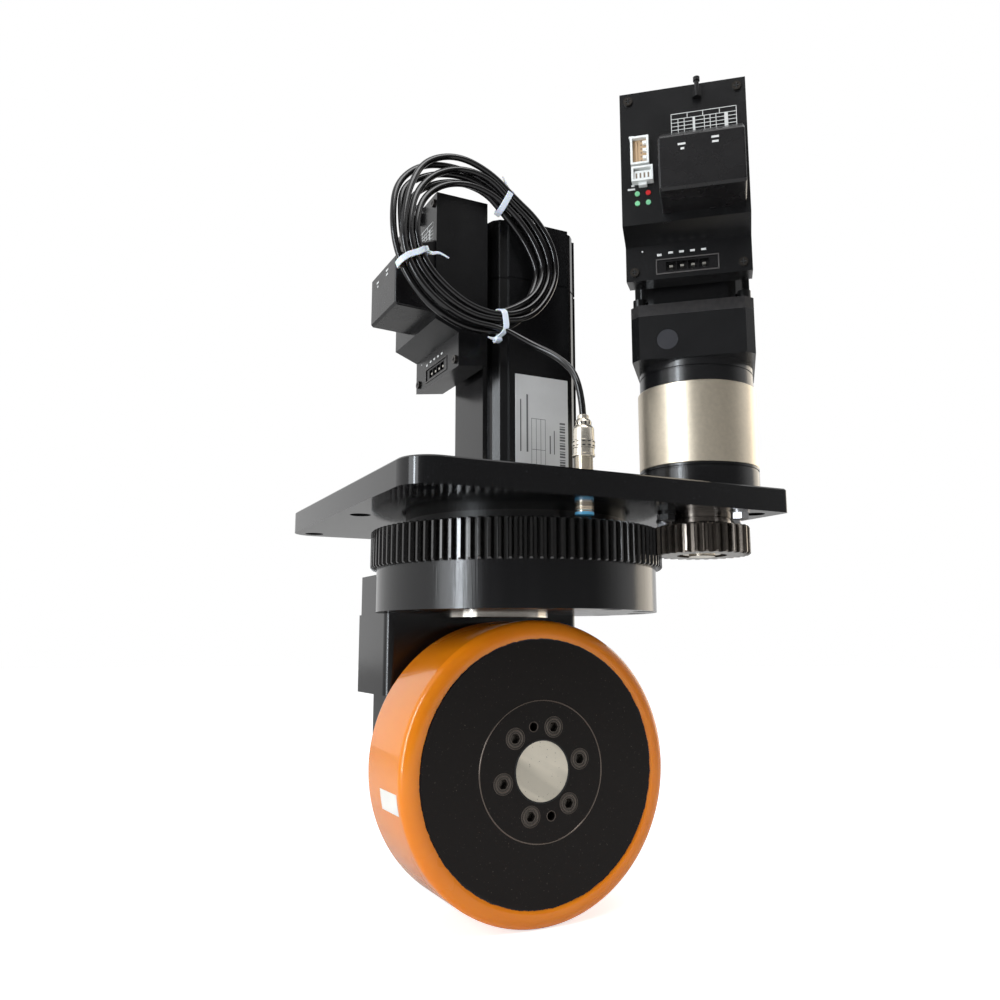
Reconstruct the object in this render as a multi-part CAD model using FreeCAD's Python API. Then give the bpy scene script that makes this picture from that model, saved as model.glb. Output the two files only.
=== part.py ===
import FreeCAD, Part
import math
import os

os.makedirs("parts", exist_ok=True)
V = FreeCAD.Vector

# AGV drive wheel unit, in millimetres.
# The origin is on the steering axis, at the underside of the mounting plate.
# +Z is up, +X is the rolling direction, and the wheel turns about a line along Y.

# Fits and gaps
face_gap = 0.05
running_gap = 0.05
bore_gap = 0.3
hole_end_gap = 1.0
head_sink = 0.5

# Socket screws: shank, head and socket
m5_r = 2.5
m5_head_r = 4.25
m5_head_h = 5.0
m5_socket_r = 2.2
m6_r = 3.0
m6_head_r = 5.0
m6_head_h = 6.0
m6_socket_r = 2.9
m8_r = 4.0
m8_head_r = 6.5
m8_head_h = 8.0
m8_socket_r = 3.4

# Mounting plate
plate_half_x = 133.0
plate_half_y = 135.0
plate_t = 16.0
plate_corner_left = 20.0
plate_corner_right = 3.0
plate_hole_r = 7.0
plate_hole_inset_x = 16.0
plate_hole_inset_y = 15.5
motor_opening_r = 47.0

# Slewing bearing with its outer gear
module = 2.0
gear_teeth = 102
gear_top = -7.5
gear_bottom = -33.7
tooth_backlash = 0.3
tooth_chamfer = 1.2
roller_r = 4.0
gear_wall = 17.0
roller_z = -16.0
roller_count = 16
roller_end_gap = 0.1
roller_race_gap = 0.03
race_gap = 3.0
inner_ring_w = 19.5
inner_ring_bottom = -26.0
inner_screw_count = 12
inner_screw_depth = 16.5

# Steering pinion and its planetary gearbox
pinion_teeth = 30
pinion_azimuth = -45.0
pinion_top = -7.5
pinion_bottom = -26.5
gearbox_bolt_r = 33.0
gearbox_bolt_azimuth = -170.0
gearbox_bolt_head_r = 5.77
gearbox_bolt_head_h = 4.0
gearbox_bolt_depth = 11.0
washer_r = 6.0
washer_t = 1.2
stack_r = 40.0
boss_r = 20.0
boss_bottom = -6.2
base_top = 30.6
ring_gear_top = 85.3
collar_r = 38.5
collar_top = 101.0
block_half = 40.0
block_corner = 5.5
block_top = 131.0
flange_top = 139.0
shaft_r = 10.0
shaft_bearing_r = 17.0
shaft_bearing_lip = 2.5
ring_wall = 9.0
carrier_gap = 2.0
carrier_t = 6.0
carrier_room = 3.0
access_plug_r = 7.0
access_plug_t = 3.0
access_plug_across = -16.0
access_plug_z = 114.0
flange_screw_inset = 5.8
flange_screw_depth = 11.0
pinion_recess_r = 16.5
pinion_recess = 2.0
retainer_r = 12.5
retainer_hub_r = 8.7
retainer_t = 1.2
retainer_hub_t = 2.8

# Motors and drive boxes, the same product twice
motor_half = 38.0
motor_corner = 14.0
motor_groove = 3.5
motor_groove_deep = 5.0
motor_bevel = 4.0
motor_cover_h = 44.5
motor_seam = 0.6
motor_seam_h = 1.2
drive_w = 79.0
drive_h = 121.5
drive_back = 42.0
drive_foot = 3.0
neck_half = 30.0
neck_bottom = 12.0
neck_below_motor = 6.0
panel_out = 80.5
lower_out = 63.5
lower_h = 23.5
ridge_h = 30.5
motor_below_drive = 6.0
socket_left = -19.5
socket_w = 38.0
socket_bottom = 4.0
socket_h = 8.7
socket_deep = 5.0
pin_count = 4
pin_pitch = 6.9
pin_half = 1.1
pin_h = 1.4
pin_cell_half = 3.2
pin_cell_h = 5.9
cover_left = -14.0
cover_w = 51.0
cover_bottom = 36.0
cover_front_h = 37.5
cover_h = 52.0
cover_out = 28.0
cover_edge = 1.5
cover_draft = 1.0
cover_top_edge = 2.75
cover_slope_out = 9.0
cover_slope_h = 11.0
cover_round = 1.2
header_out = 5.5
header_wall = 1.3
header_floor = 1.5
upper_header_left = -32.8
upper_header_w = 11.5
upper_header_h = 19.0
upper_header_below_top = 33.5
lower_header_left = -32.5
lower_header_w = 13.5
lower_header_h = 10.0
lower_header_below_upper = 1.5
lamp_r = 1.6
lamp_out = 0.8
lamp_across = -29.5
lamp_below_header = 6.3
lamp_pitch_across = 6.9
lamp_pitch_z = 6.5
panel_screw_r = 2.9
panel_screw_out = 1.4
panel_screw_socket_r = 1.2
panel_screw_across = 34.0
panel_screw_inset = 5.85
post_across = 9.7
post_w = 5.6
post_out = 3.0
post_h = 7.0
post_below_top = 3.5
post_pin_r = 1.5
post_pin_above_top = 0.9
post_knob_r = 2.1
post_knob_h = 2.5
steer_drive_bottom = 146.3
steer_drive_azimuth = -131.0
traction_drive_bottom = 100.0
traction_drive_azimuth = 180.0

# Turret and gear housing
turret_bottom = -63.6
reducer_floor = -45.0
reducer_r = 36.0
reducer_flange_r = 46.0
reducer_flange_t = 9.0
reducer_top = 8.0
reducer_screw_count = 6
reducer_screw_depth = 11.0
ring_screw_count = 12
ring_screw_depth = 13.6
housing_screw_inset = 21.5
housing_screw_azimuths = (50, 70, 90, 110, 130)
housing_screw_depth = 16.6
housing_left = -82.0
housing_right = 78.0
housing_front = 44.0
housing_rear = 108.0
housing_mid = -122.0
housing_edge_r = 6.0
tower_front = 60.0
tower_inset = 1.5
boss_front = 48.0
boss_rear = 104.0
axle_boss_r = 70.5
nose_r = 48.0
nose_front = -5.0
end_cover_r = 45.5
end_cover_t = 6.0
cover_screw_count = 6
cover_screw_depth = 11.0
axle_bearing_r = 36.0
axle_bearing_w = 14.0
seal_t = 2.5
axle_room = 4.0
nose_room = 1.0
spigot_r = 42.0
spigot_y = 38.0
spigot_t = 2.8

# Wheel
tyre_below_ring = 5.7
wheel_front = -37.5
tyre_rear = 32.5
tyre_r = 99.0
tyre_shoulder = 8.0
tread_t = 13.2
tyre_lip = 1.5
tyre_lip_deep = 0.4
hub_rear_inset = 1.5
hub_web_t = 23.5
hub_rim_t = 9.0
hub_flange_r = 45.8
hub_flange_t = 8.5
axle_r = 20.0
axle_shoulder_r = 26.0
hub_screw_circle_r = 29.5
hub_screw_azimuth = 12.5
hub_screw_count = 6
hub_screw_head_h = 5.2
hub_screw_sink = 0.3
hub_screw_socket = 4.3
hub_screw_depth = 21.0
jack_hole_r = 3.0

# Home sensor and its cable
sensor_x = -2.0
sensor_y = -98.0
sensor_r = 6.0
sensor_face = -5.5
sensor_cap_top = -3.7
sensor_barrel_top = 32.0
sensor_nut_r = 9.8
sensor_nut_t = 5.0
plug_r = 7.25
plug_top = 52.0
plug_neck_r = 5.2
relief_r = 3.6
relief_t = 3.0
relief_top = 59.0
cord_r = 2.2
coil_x = -53.0
coil_z = 182.3
coil_r = 53.0
coil_bundle_r = 6.7
coil_lean = 0.12
tie_azimuths = (58.8, 202.0, 283.0)
tie_head_turns = (70.0, -80.0, 80.0)
tie_w = 3.6
tie_t = 0.9
tie_head = 5.0

# Sizes that follow from the ones above
plate_hole_x = plate_half_x - plate_hole_inset_x
plate_hole_y = plate_half_y - plate_hole_inset_y
turret_r = module * gear_teeth / 2 - 1.25 * module
gear_bore_r = turret_r - gear_wall
roller_circle_r = gear_bore_r - race_gap / 2
inner_ring_r = roller_circle_r - race_gap / 2
inner_ring_bore_r = inner_ring_r - inner_ring_w
inner_screw_circle_r = (inner_ring_r + inner_ring_bore_r) / 2
ring_screw_circle_r = (gear_bore_r + turret_r) / 2
housing_screw_circle_r = turret_r - housing_screw_inset
reducer_screw_circle_r = (reducer_r + reducer_flange_r) / 2
end_screw_circle_r = (axle_bearing_r + end_cover_r) / 2
tower_top = gear_bottom - bore_gap
axle_z = turret_bottom - tyre_below_ring - tyre_r
hub_r = tyre_r - tread_t
ring_inner_r = stack_r - ring_wall
pitch_distance = module * (gear_teeth + pinion_teeth) / 2
pinion_x = pitch_distance * math.cos(math.radians(pinion_azimuth))
pinion_y = pitch_distance * math.sin(math.radians(pinion_azimuth))


def save(name, shape):
    """Write one subcomponent and report its solids and volume."""
    shape.exportStep("parts/" + name + ".step")
    print(name, len(shape.Solids), round(shape.Volume), shape.isValid())


def zcyl(r, z0, z1, x=0.0, y=0.0):
    """Upright cylinder from z0 to z1."""
    return Part.makeCylinder(r, z1 - z0, V(x, y, z0))


def ycyl(r, y0, y1, x=0.0, z=0.0):
    """Cylinder along Y from y0 to y1."""
    return Part.makeCylinder(r, y1 - y0, V(x, y0, z), V(0, 1, 0))


def tube(ro, ri, z0, z1, x=0.0, y=0.0):
    """Upright tube."""
    return zcyl(ro, z0, z1, x, y).cut(zcyl(ri, z0 - 1, z1 + 1, x, y))


def ytube(ro, ri, y0, y1, x=0.0, z=0.0):
    """Tube along Y."""
    return ycyl(ro, y0, y1, x, z).cut(ycyl(ri, y0 - 1, y1 + 1, x, z))


def block(x0, x1, y0, y1, z0, z1):
    """Box between two opposite corners."""
    return Part.makeBox(x1 - x0, y1 - y0, z1 - z0, V(x0, y0, z0))


def prism(points, direction):
    """Solid swept straight from a closed outline."""
    wire = Part.makePolygon(points + [points[0]])
    return Part.Face(wire).extrude(direction)


def polar(r, degrees):
    """Point on a circle, as x and y."""
    return r * math.cos(math.radians(degrees)), r * math.sin(math.radians(degrees))


def circle(r, count, first):
    """Points spread evenly round a circle; first is a share of the pitch."""
    return [polar(r, 360.0 * (i + first) / count) for i in range(count)]


def cut_square(half, corner, z0, z1):
    """Upright square bar with its four corners cut off."""
    a, b = half, half - corner
    outline = [(a, -b), (a, b), (b, a), (-b, a), (-a, b), (-a, -b), (-b, -a), (b, -a)]
    return prism([V(x, y, z0) for x, y in outline], V(0, 0, z1 - z0))


def grooved_square(half, z0, z1):
    """Upright square bar with a stepped groove down each corner."""
    a, b = half, half - motor_corner
    c, d = half - motor_groove, half - motor_groove_deep
    e = d - motor_bevel
    quarter = [(a, b), (c, b), (d, e), (e, d), (b, c), (b, a)]
    outline = []
    for turn in range(4):
        for x, y in quarter:
            for i in range(turn):
                x, y = -y, x
            outline.append(V(x, y, z0))
    return prism(outline, V(0, 0, z1 - z0))


def screw_down(r, z_seat, length, x, y, head_r, head_h, socket_r):
    """Socket screw along Z: the head is above z_seat and the shank below it."""
    head = zcyl(head_r, z_seat, z_seat + head_h, x, y)
    shank = zcyl(r, z_seat - length, z_seat, x, y)
    tool = hexagon(socket_r, z_seat + head_h / 2, z_seat + head_h + 1, x, y)
    return head.fuse(shank).cut(tool)


def hexagon(across_corners_r, z0, z1, x=0.0, y=0.0):
    """Upright six-sided bar."""
    corners = [polar(across_corners_r, 60 * i) for i in range(6)]
    return prism([V(x + a, y + b, z0) for a, b in corners], V(0, 0, z1 - z0))


def flipped(shape, z):
    """The shape turned upside down about a level line at height z."""
    turned = shape.copy()
    turned.rotate(V(0, 0, z), V(1, 0, 0), 180)
    return turned


def placed(shape, azimuth, x, y, z=0.0):
    """The shape turned about Z and then moved."""
    moved = shape.copy()
    moved.rotate(V(0, 0, 0), V(0, 0, 1), azimuth)
    moved.translate(V(x, y, z))
    return moved


def involute(angle):
    """Involute function of a pressure angle."""
    return math.tan(angle) - angle


def spur_gear(teeth, z0, z1, first_tooth):
    """External involute gear with 20 degree teeth, its tooth ends bevelled at the tips."""
    pitch_r = module * teeth / 2
    base_r = pitch_r * math.cos(math.radians(20))
    root_r = pitch_r - 1.25 * module
    tip_r = pitch_r + module
    half = math.pi / (2 * teeth) - tooth_backlash / (4 * pitch_r)
    half += involute(math.radians(20))
    flank = []
    start_r = max(root_r, base_r + 0.01)
    for i in range(3):
        r = start_r + (tip_r - start_r) * i / 2
        flank.append((r, half - involute(math.acos(base_r / r))))
    if root_r < base_r:
        flank.insert(0, (root_r, flank[0][1] + 0.004))
    points = []
    for n in range(teeth):
        centre = math.radians(first_tooth + 360.0 * n / teeth)
        for r, angle in flank:
            points.append(V(r * math.cos(centre - angle), r * math.sin(centre - angle), z0))
        for r, angle in reversed(flank):
            points.append(V(r * math.cos(centre + angle), r * math.sin(centre + angle), z0))
    body = prism(points, V(0, 0, z1 - z0))
    envelope = zcyl(tip_r + 0.2, z0, z1)
    rims = [e for e in envelope.Edges if abs(e.Length - 2 * math.pi * (tip_r + 0.2)) < 0.01]
    return body.common(envelope.makeChamfer(tooth_chamfer, rims))


def groups(shapes):
    """Separate solids kept together as one subcomponent."""
    return Part.makeCompound(shapes)


# Mounting plate
plate = block(-plate_half_x, plate_half_x, -plate_half_y, plate_half_y, 0, plate_t)
left = [e for e in plate.Edges if abs(e.Length - plate_t) < 0.01 and e.CenterOfMass.x < 0]
plate = plate.makeFillet(plate_corner_left, left)
right = [e for e in plate.Edges if abs(e.Length - plate_t) < 0.01 and e.CenterOfMass.x > plate_half_x - 1]
plate = plate.makeFillet(plate_corner_right, right)
top = [e for e in plate.Edges if e.BoundBox.ZMin > plate_t - 0.01]
plate = plate.makeChamfer(1.0, top)
plate = plate.cut(zcyl(motor_opening_r, -1, plate_t + 1))
for side in (-1, 1):
    for row in (-1, 0, 1):
        plate = plate.cut(zcyl(plate_hole_r, -1, plate_t + 1, side * plate_hole_x, row * plate_hole_y))
plate = plate.cut(zcyl(boss_r + face_gap, -1, plate_t + 1, pinion_x, pinion_y))
plate = plate.cut(zcyl(sensor_r + face_gap, -1, plate_t + 1, sensor_x, sensor_y))

inner_screw_seat = plate_t - m6_head_h - head_sink
inner_screw_points = circle(inner_screw_circle_r, inner_screw_count, 0.5)
inner_screw_length = inner_screw_seat + inner_screw_depth
inner_screws = []
for x, y in inner_screw_points:
    plate = plate.cut(zcyl(m6_r + bore_gap, -1, plate_t, x, y))
    plate = plate.cut(zcyl(m6_head_r + bore_gap, inner_screw_seat, plate_t + 1, x, y))
    inner_screws.append(
        screw_down(m6_r, inner_screw_seat, inner_screw_length, x, y, m6_head_r, m6_head_h, m6_socket_r)
    )

gearbox_bolts = []
bolt_points = []
for i in range(4):
    x, y = polar(gearbox_bolt_r, gearbox_bolt_azimuth + 90 * i)
    bolt_points.append((pinion_x + x, pinion_y + y))
for x, y in bolt_points:
    plate = plate.cut(zcyl(m6_r + bore_gap, -1, plate_t + 1, x, y))
    head = hexagon(gearbox_bolt_head_r, -washer_t - gearbox_bolt_head_h, -washer_t, x, y)
    washer = zcyl(washer_r, -washer_t, 0, x, y)
    gearbox_bolts.append(head.fuse(washer).fuse(zcyl(m6_r, 0, plate_t + gearbox_bolt_depth, x, y)))
save("mounting_plate", plate)
save("inner_ring_screws", groups(inner_screws))
save("gearbox_bolts", groups(gearbox_bolts))

# Slewing bearing: fixed inner ring, crossed rollers, outer ring with the gear teeth
half_diagonal = roller_r * math.sqrt(2) + roller_race_gap
diamond = Part.Face(Part.makePolygon([
    V(roller_circle_r - half_diagonal, 0, roller_z),
    V(roller_circle_r, 0, roller_z + half_diagonal),
    V(roller_circle_r + half_diagonal, 0, roller_z),
    V(roller_circle_r, 0, roller_z - half_diagonal),
    V(roller_circle_r - half_diagonal, 0, roller_z),
]))
raceway = diamond.revolve(V(0, 0, 0), V(0, 0, 1), 360)
inner_ring = tube(inner_ring_r, inner_ring_bore_r, inner_ring_bottom, 0)
inner_ring = inner_ring.cut(raceway)
for x, y in inner_screw_points:
    inner_ring = inner_ring.cut(zcyl(m6_r + face_gap, -inner_screw_depth - hole_end_gap, 1, x, y))
save("bearing_inner_ring", inner_ring)

slewing_gear = spur_gear(gear_teeth, gear_bottom, gear_top, pinion_azimuth)
slewing_gear = slewing_gear.cut(zcyl(gear_bore_r, gear_bottom - 1, gear_top + 1)).cut(raceway)

rollers = []
roller_half = roller_r - roller_end_gap
for i in range(roller_count):
    tilt = 1 if i % 2 else -1
    x, y = polar(1.0, 360.0 * i / roller_count)
    axis = V(x, y, tilt).normalize()
    middle = V(x * roller_circle_r, y * roller_circle_r, roller_z)
    start = middle - axis * roller_half
    rollers.append(Part.makeCylinder(roller_r, 2 * roller_half, start, axis))
save("bearing_rollers", groups(rollers))

# Turret ring under the gear, with a pocket for the reducer flange
turret = zcyl(turret_r, turret_bottom, gear_bottom)
turret = turret.cut(zcyl(reducer_flange_r + bore_gap, reducer_floor, gear_bottom + 1))
ring_screws = []
ring_screw_seat = turret_bottom + m8_head_h + head_sink
ring_screw_length = gear_bottom + ring_screw_depth - ring_screw_seat
for x, y in circle(ring_screw_circle_r, ring_screw_count, 0.5):
    hole = zcyl(m8_r + face_gap, gear_bottom, gear_bottom + ring_screw_depth + hole_end_gap, x, y)
    slewing_gear = slewing_gear.cut(hole)
    turret = turret.cut(zcyl(m8_r + bore_gap, turret_bottom - 1, gear_bottom + 1, x, y))
    turret = turret.cut(zcyl(m8_head_r + bore_gap, turret_bottom - 1, ring_screw_seat, x, y))
    upright = screw_down(m8_r, ring_screw_seat, ring_screw_length, x, y, m8_head_r, m8_head_h, m8_socket_r)
    ring_screws.append(flipped(upright, ring_screw_seat).translated(V(0, 2 * y, 0)))
save("slewing_gear", slewing_gear)
save("turret_ring_screws", groups(ring_screws))

housing_screws = []
housing_points = [polar(housing_screw_circle_r, a) for a in housing_screw_azimuths]
housing_screw_seat = gear_bottom - m8_head_h - head_sink
housing_screw_length = housing_screw_seat - turret_bottom + housing_screw_depth
for x, y in housing_points:
    turret = turret.cut(zcyl(m8_r + bore_gap, turret_bottom - 1, gear_bottom + 1, x, y))
    turret = turret.cut(zcyl(m8_head_r + bore_gap, housing_screw_seat, gear_bottom + 1, x, y))
    housing_screws.append(
        screw_down(m8_r, housing_screw_seat, housing_screw_length, x, y, m8_head_r, m8_head_h, m8_socket_r)
    )

reducer_screws = []
reducer_screw_seat = reducer_floor + reducer_flange_t
reducer_screw_length = reducer_flange_t + reducer_screw_depth
reducer_screw_end = reducer_floor - reducer_screw_depth - hole_end_gap
reducer_screw_points = circle(reducer_screw_circle_r, reducer_screw_count, 0)
for x, y in reducer_screw_points:
    turret = turret.cut(zcyl(m5_r + face_gap, reducer_screw_end, reducer_floor + 1, x, y))
    reducer_screws.append(
        screw_down(m5_r, reducer_screw_seat, reducer_screw_length, x, y, m5_head_r, m5_head_h, m5_socket_r)
    )
save("turret_ring", turret)

# Gear housing: a case behind the ring, a block under it, a boss round the axle
# and a nose that reaches into the wheel
housing = block(housing_left, housing_right, housing_front, housing_rear, housing_mid, turret_bottom)
tower_left = housing_left + tower_inset
tower = block(tower_left, housing_right, tower_front, housing_rear, turret_bottom, tower_top)
tower = tower.cut(zcyl(turret_r + bore_gap, turret_bottom - 1, tower_top + 1))
housing = housing.fuse(tower).removeSplitter()
front_edges = []
for e in housing.Edges:
    c = e.CenterOfMass
    upright = abs(e.BoundBox.ZLength - (turret_bottom - housing_mid)) < 0.01
    if upright and abs(c.y - housing_front) < 0.01:
        front_edges.append(e)
housing = housing.makeFillet(housing_edge_r, front_edges)
boss = block(-axle_boss_r, axle_boss_r, boss_front, boss_rear, axle_z, housing_mid + 1)
boss = boss.fuse(ycyl(axle_boss_r, boss_front, boss_rear, 0, axle_z)).removeSplitter()
nose = ycyl(nose_r, nose_front, boss_front + 1, 0, axle_z)
housing = housing.fuse(boss).fuse(nose)
front_bearing_rear = nose_front + seal_t + axle_bearing_w
rear_bearing_front = boss_rear - axle_bearing_w
housing = housing.cut(ycyl(axle_r + axle_room, nose_front - 1, boss_rear + 1, 0, axle_z))
housing = housing.cut(ycyl(axle_bearing_r, nose_front - 1, front_bearing_rear, 0, axle_z))
housing = housing.cut(ycyl(axle_bearing_r, rear_bearing_front, boss_rear + 1, 0, axle_z))
housing_hole_end = turret_bottom - housing_screw_depth - hole_end_gap
for x, y in housing_points:
    housing = housing.cut(zcyl(m8_r + face_gap, housing_hole_end, turret_bottom + 1, x, y))
cover_screws = []
cover_rear = boss_rear + end_cover_t
cover_screw_end = boss_rear - cover_screw_depth
cover_screw_points = circle(end_screw_circle_r, cover_screw_count, 0.5)
for x, z in cover_screw_points:
    z += axle_z
    housing = housing.cut(ycyl(m5_r + face_gap, cover_screw_end - hole_end_gap, boss_rear + 1, x, z))
    head = ycyl(m5_head_r, cover_rear, cover_rear + m5_head_h, x, z)
    shank = ycyl(m5_r, cover_screw_end, cover_rear, x, z)
    socket = ycyl(m5_socket_r, cover_rear + m5_head_h / 2, cover_rear + m5_head_h + 1, x, z)
    cover_screws.append(head.fuse(shank).cut(socket))
save("gear_housing", housing)
save("housing_screws", groups(housing_screws))

# Machined spigot that centres the housing under the ring
spigot = zcyl(spigot_r, turret_bottom - spigot_t, turret_bottom, 0, spigot_y)
spigot = spigot.cut(block(-spigot_r, spigot_r, housing_front, housing_rear, turret_bottom - 5, 0))
save("locating_spigot", spigot)

end_cover = ycyl(end_cover_r, boss_rear, cover_rear, 0, axle_z)
for x, z in cover_screw_points:
    end_cover = end_cover.cut(ycyl(m5_r + bore_gap, boss_rear - 1, cover_rear + 1, x, axle_z + z))
save("bearing_end_cover", end_cover)
save("end_cover_screws", groups(cover_screws))

axle_bore_r = axle_r + running_gap
seal_rear = nose_front + seal_t
front_bearing = ytube(axle_bearing_r, axle_bore_r, seal_rear, front_bearing_rear, 0, axle_z)
rear_bearing = ytube(axle_bearing_r, axle_bore_r, rear_bearing_front, boss_rear, 0, axle_z)
save("axle_bearings", groups([front_bearing, rear_bearing]))
seal = ytube(axle_bearing_r, axle_bore_r, nose_front, seal_rear, 0, axle_z)
save("axle_seal", seal)

# Wheel: axle, flange, hub and tyre
web_rear = wheel_front + hub_web_t
shoulder_rear = nose_front - nose_room
axle = ycyl(axle_r, wheel_front, boss_rear - nose_room, 0, axle_z)
axle = axle.fuse(ycyl(axle_shoulder_r, web_rear, shoulder_rear, 0, axle_z))
save("axle", axle)

hub_screw_seat = wheel_front + hub_screw_sink + hub_screw_head_h
flange_rear = wheel_front + hub_flange_t
flange = ytube(hub_flange_r, axle_r + face_gap, wheel_front, flange_rear, 0, axle_z)
hub = ycyl(hub_r, wheel_front, tyre_rear - hub_rear_inset, 0, axle_z)
hub = hub.cut(ycyl(hub_r - hub_rim_t, web_rear, tyre_rear, 0, axle_z))
hub = hub.cut(ycyl(hub_flange_r + face_gap, wheel_front - 1, flange_rear, 0, axle_z))
hub = hub.cut(ycyl(axle_r + face_gap, wheel_front, tyre_rear, 0, axle_z))
hub_screws = []
hub_screw_end = wheel_front + hub_screw_depth
for i in range(hub_screw_count):
    x, z = polar(hub_screw_circle_r, hub_screw_azimuth + 360.0 * i / hub_screw_count)
    z += axle_z
    flange = flange.cut(ycyl(m8_r + bore_gap, wheel_front - 1, flange_rear + 1, x, z))
    flange = flange.cut(ycyl(m8_head_r + bore_gap, wheel_front - 1, hub_screw_seat, x, z))
    hub = hub.cut(ycyl(m8_r + face_gap, wheel_front, hub_screw_end + hole_end_gap, x, z))
    head = ycyl(m8_head_r, wheel_front + hub_screw_sink, hub_screw_seat, x, z)
    shank = ycyl(m8_r, hub_screw_seat, hub_screw_end, x, z)
    tool = hexagon(m8_socket_r, 0, hub_screw_socket)
    tool.rotate(V(0, 0, 0), V(1, 0, 0), -90)
    tool.translate(V(x, wheel_front, z))
    hub_screws.append(head.fuse(shank).cut(tool))
for azimuth in (hub_screw_azimuth + 90, hub_screw_azimuth - 90):
    x, z = polar(hub_screw_circle_r, azimuth)
    flange = flange.cut(ycyl(jack_hole_r, wheel_front - 1, flange_rear + 1, x, axle_z + z))
save("hub_flange", flange)
save("wheel_hub", hub)
save("hub_screws", groups(hub_screws))

tyre_profile = [
    (hub_r, wheel_front + tyre_lip_deep),
    (hub_r, tyre_rear),
    (tyre_r - tyre_shoulder, tyre_rear),
    (tyre_r, tyre_rear - tyre_shoulder),
    (tyre_r, wheel_front + tyre_shoulder),
    (tyre_r - tyre_shoulder, wheel_front),
    (hub_r + tyre_lip, wheel_front),
]
corner = math.sqrt(0.5) * tyre_shoulder
points = [V(0, y, axle_z + r) for r, y in tyre_profile]
rear_middle = V(0, tyre_rear - tyre_shoulder + corner, axle_z + tyre_r - tyre_shoulder + corner)
front_middle = V(0, wheel_front + tyre_shoulder - corner, axle_z + tyre_r - tyre_shoulder + corner)
edges = [
    Part.makeLine(points[0], points[1]),
    Part.makeLine(points[1], points[2]),
    Part.Arc(points[2], rear_middle, points[3]).toShape(),
    Part.makeLine(points[3], points[4]),
    Part.Arc(points[4], front_middle, points[5]).toShape(),
    Part.makeLine(points[5], points[6]),
    Part.makeLine(points[6], points[0]),
]
tyre = Part.Face(Part.Wire(edges)).revolve(V(0, 0, axle_z), V(0, 1, 0), 360)
save("tyre", tyre)

# Traction reducer and motor, standing in the middle of the turret
reducer = zcyl(reducer_flange_r, reducer_floor, reducer_screw_seat)
reducer = reducer.fuse(zcyl(reducer_r, reducer_screw_seat, reducer_top))
for x, y in reducer_screw_points:
    reducer = reducer.cut(zcyl(m5_r + bore_gap, reducer_floor - 1, reducer_screw_seat + 1, x, y))
save("traction_reducer", reducer)
save("reducer_screws", groups(reducer_screws))


def motor(z0, z1):
    """Motor body: a grooved bar, with a fine seam under its rear cover."""
    seam_z = z1 - motor_cover_h
    body = grooved_square(motor_half, z0, z1)
    inside = grooved_square(motor_half - motor_seam, seam_z, seam_z + motor_seam_h)
    around = block(-motor_half, motor_half, -motor_half, motor_half, seam_z, seam_z + motor_seam_h)
    return body.cut(around.cut(inside))


traction_motor_top = traction_drive_bottom + drive_h - motor_below_drive
save("traction_motor_body", motor(reducer_top, traction_motor_top))


def header(left, width, top, height):
    """Open-fronted pin header on the drive's panel."""
    out = panel_out
    body = block(out, out + header_out, left, left + width, top - height, top)
    hollow = block(out + header_floor, out + header_out + 1, left + header_wall, left + width - header_wall,
                   top - height + header_wall, top - header_wall)
    return body.cut(hollow)


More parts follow.
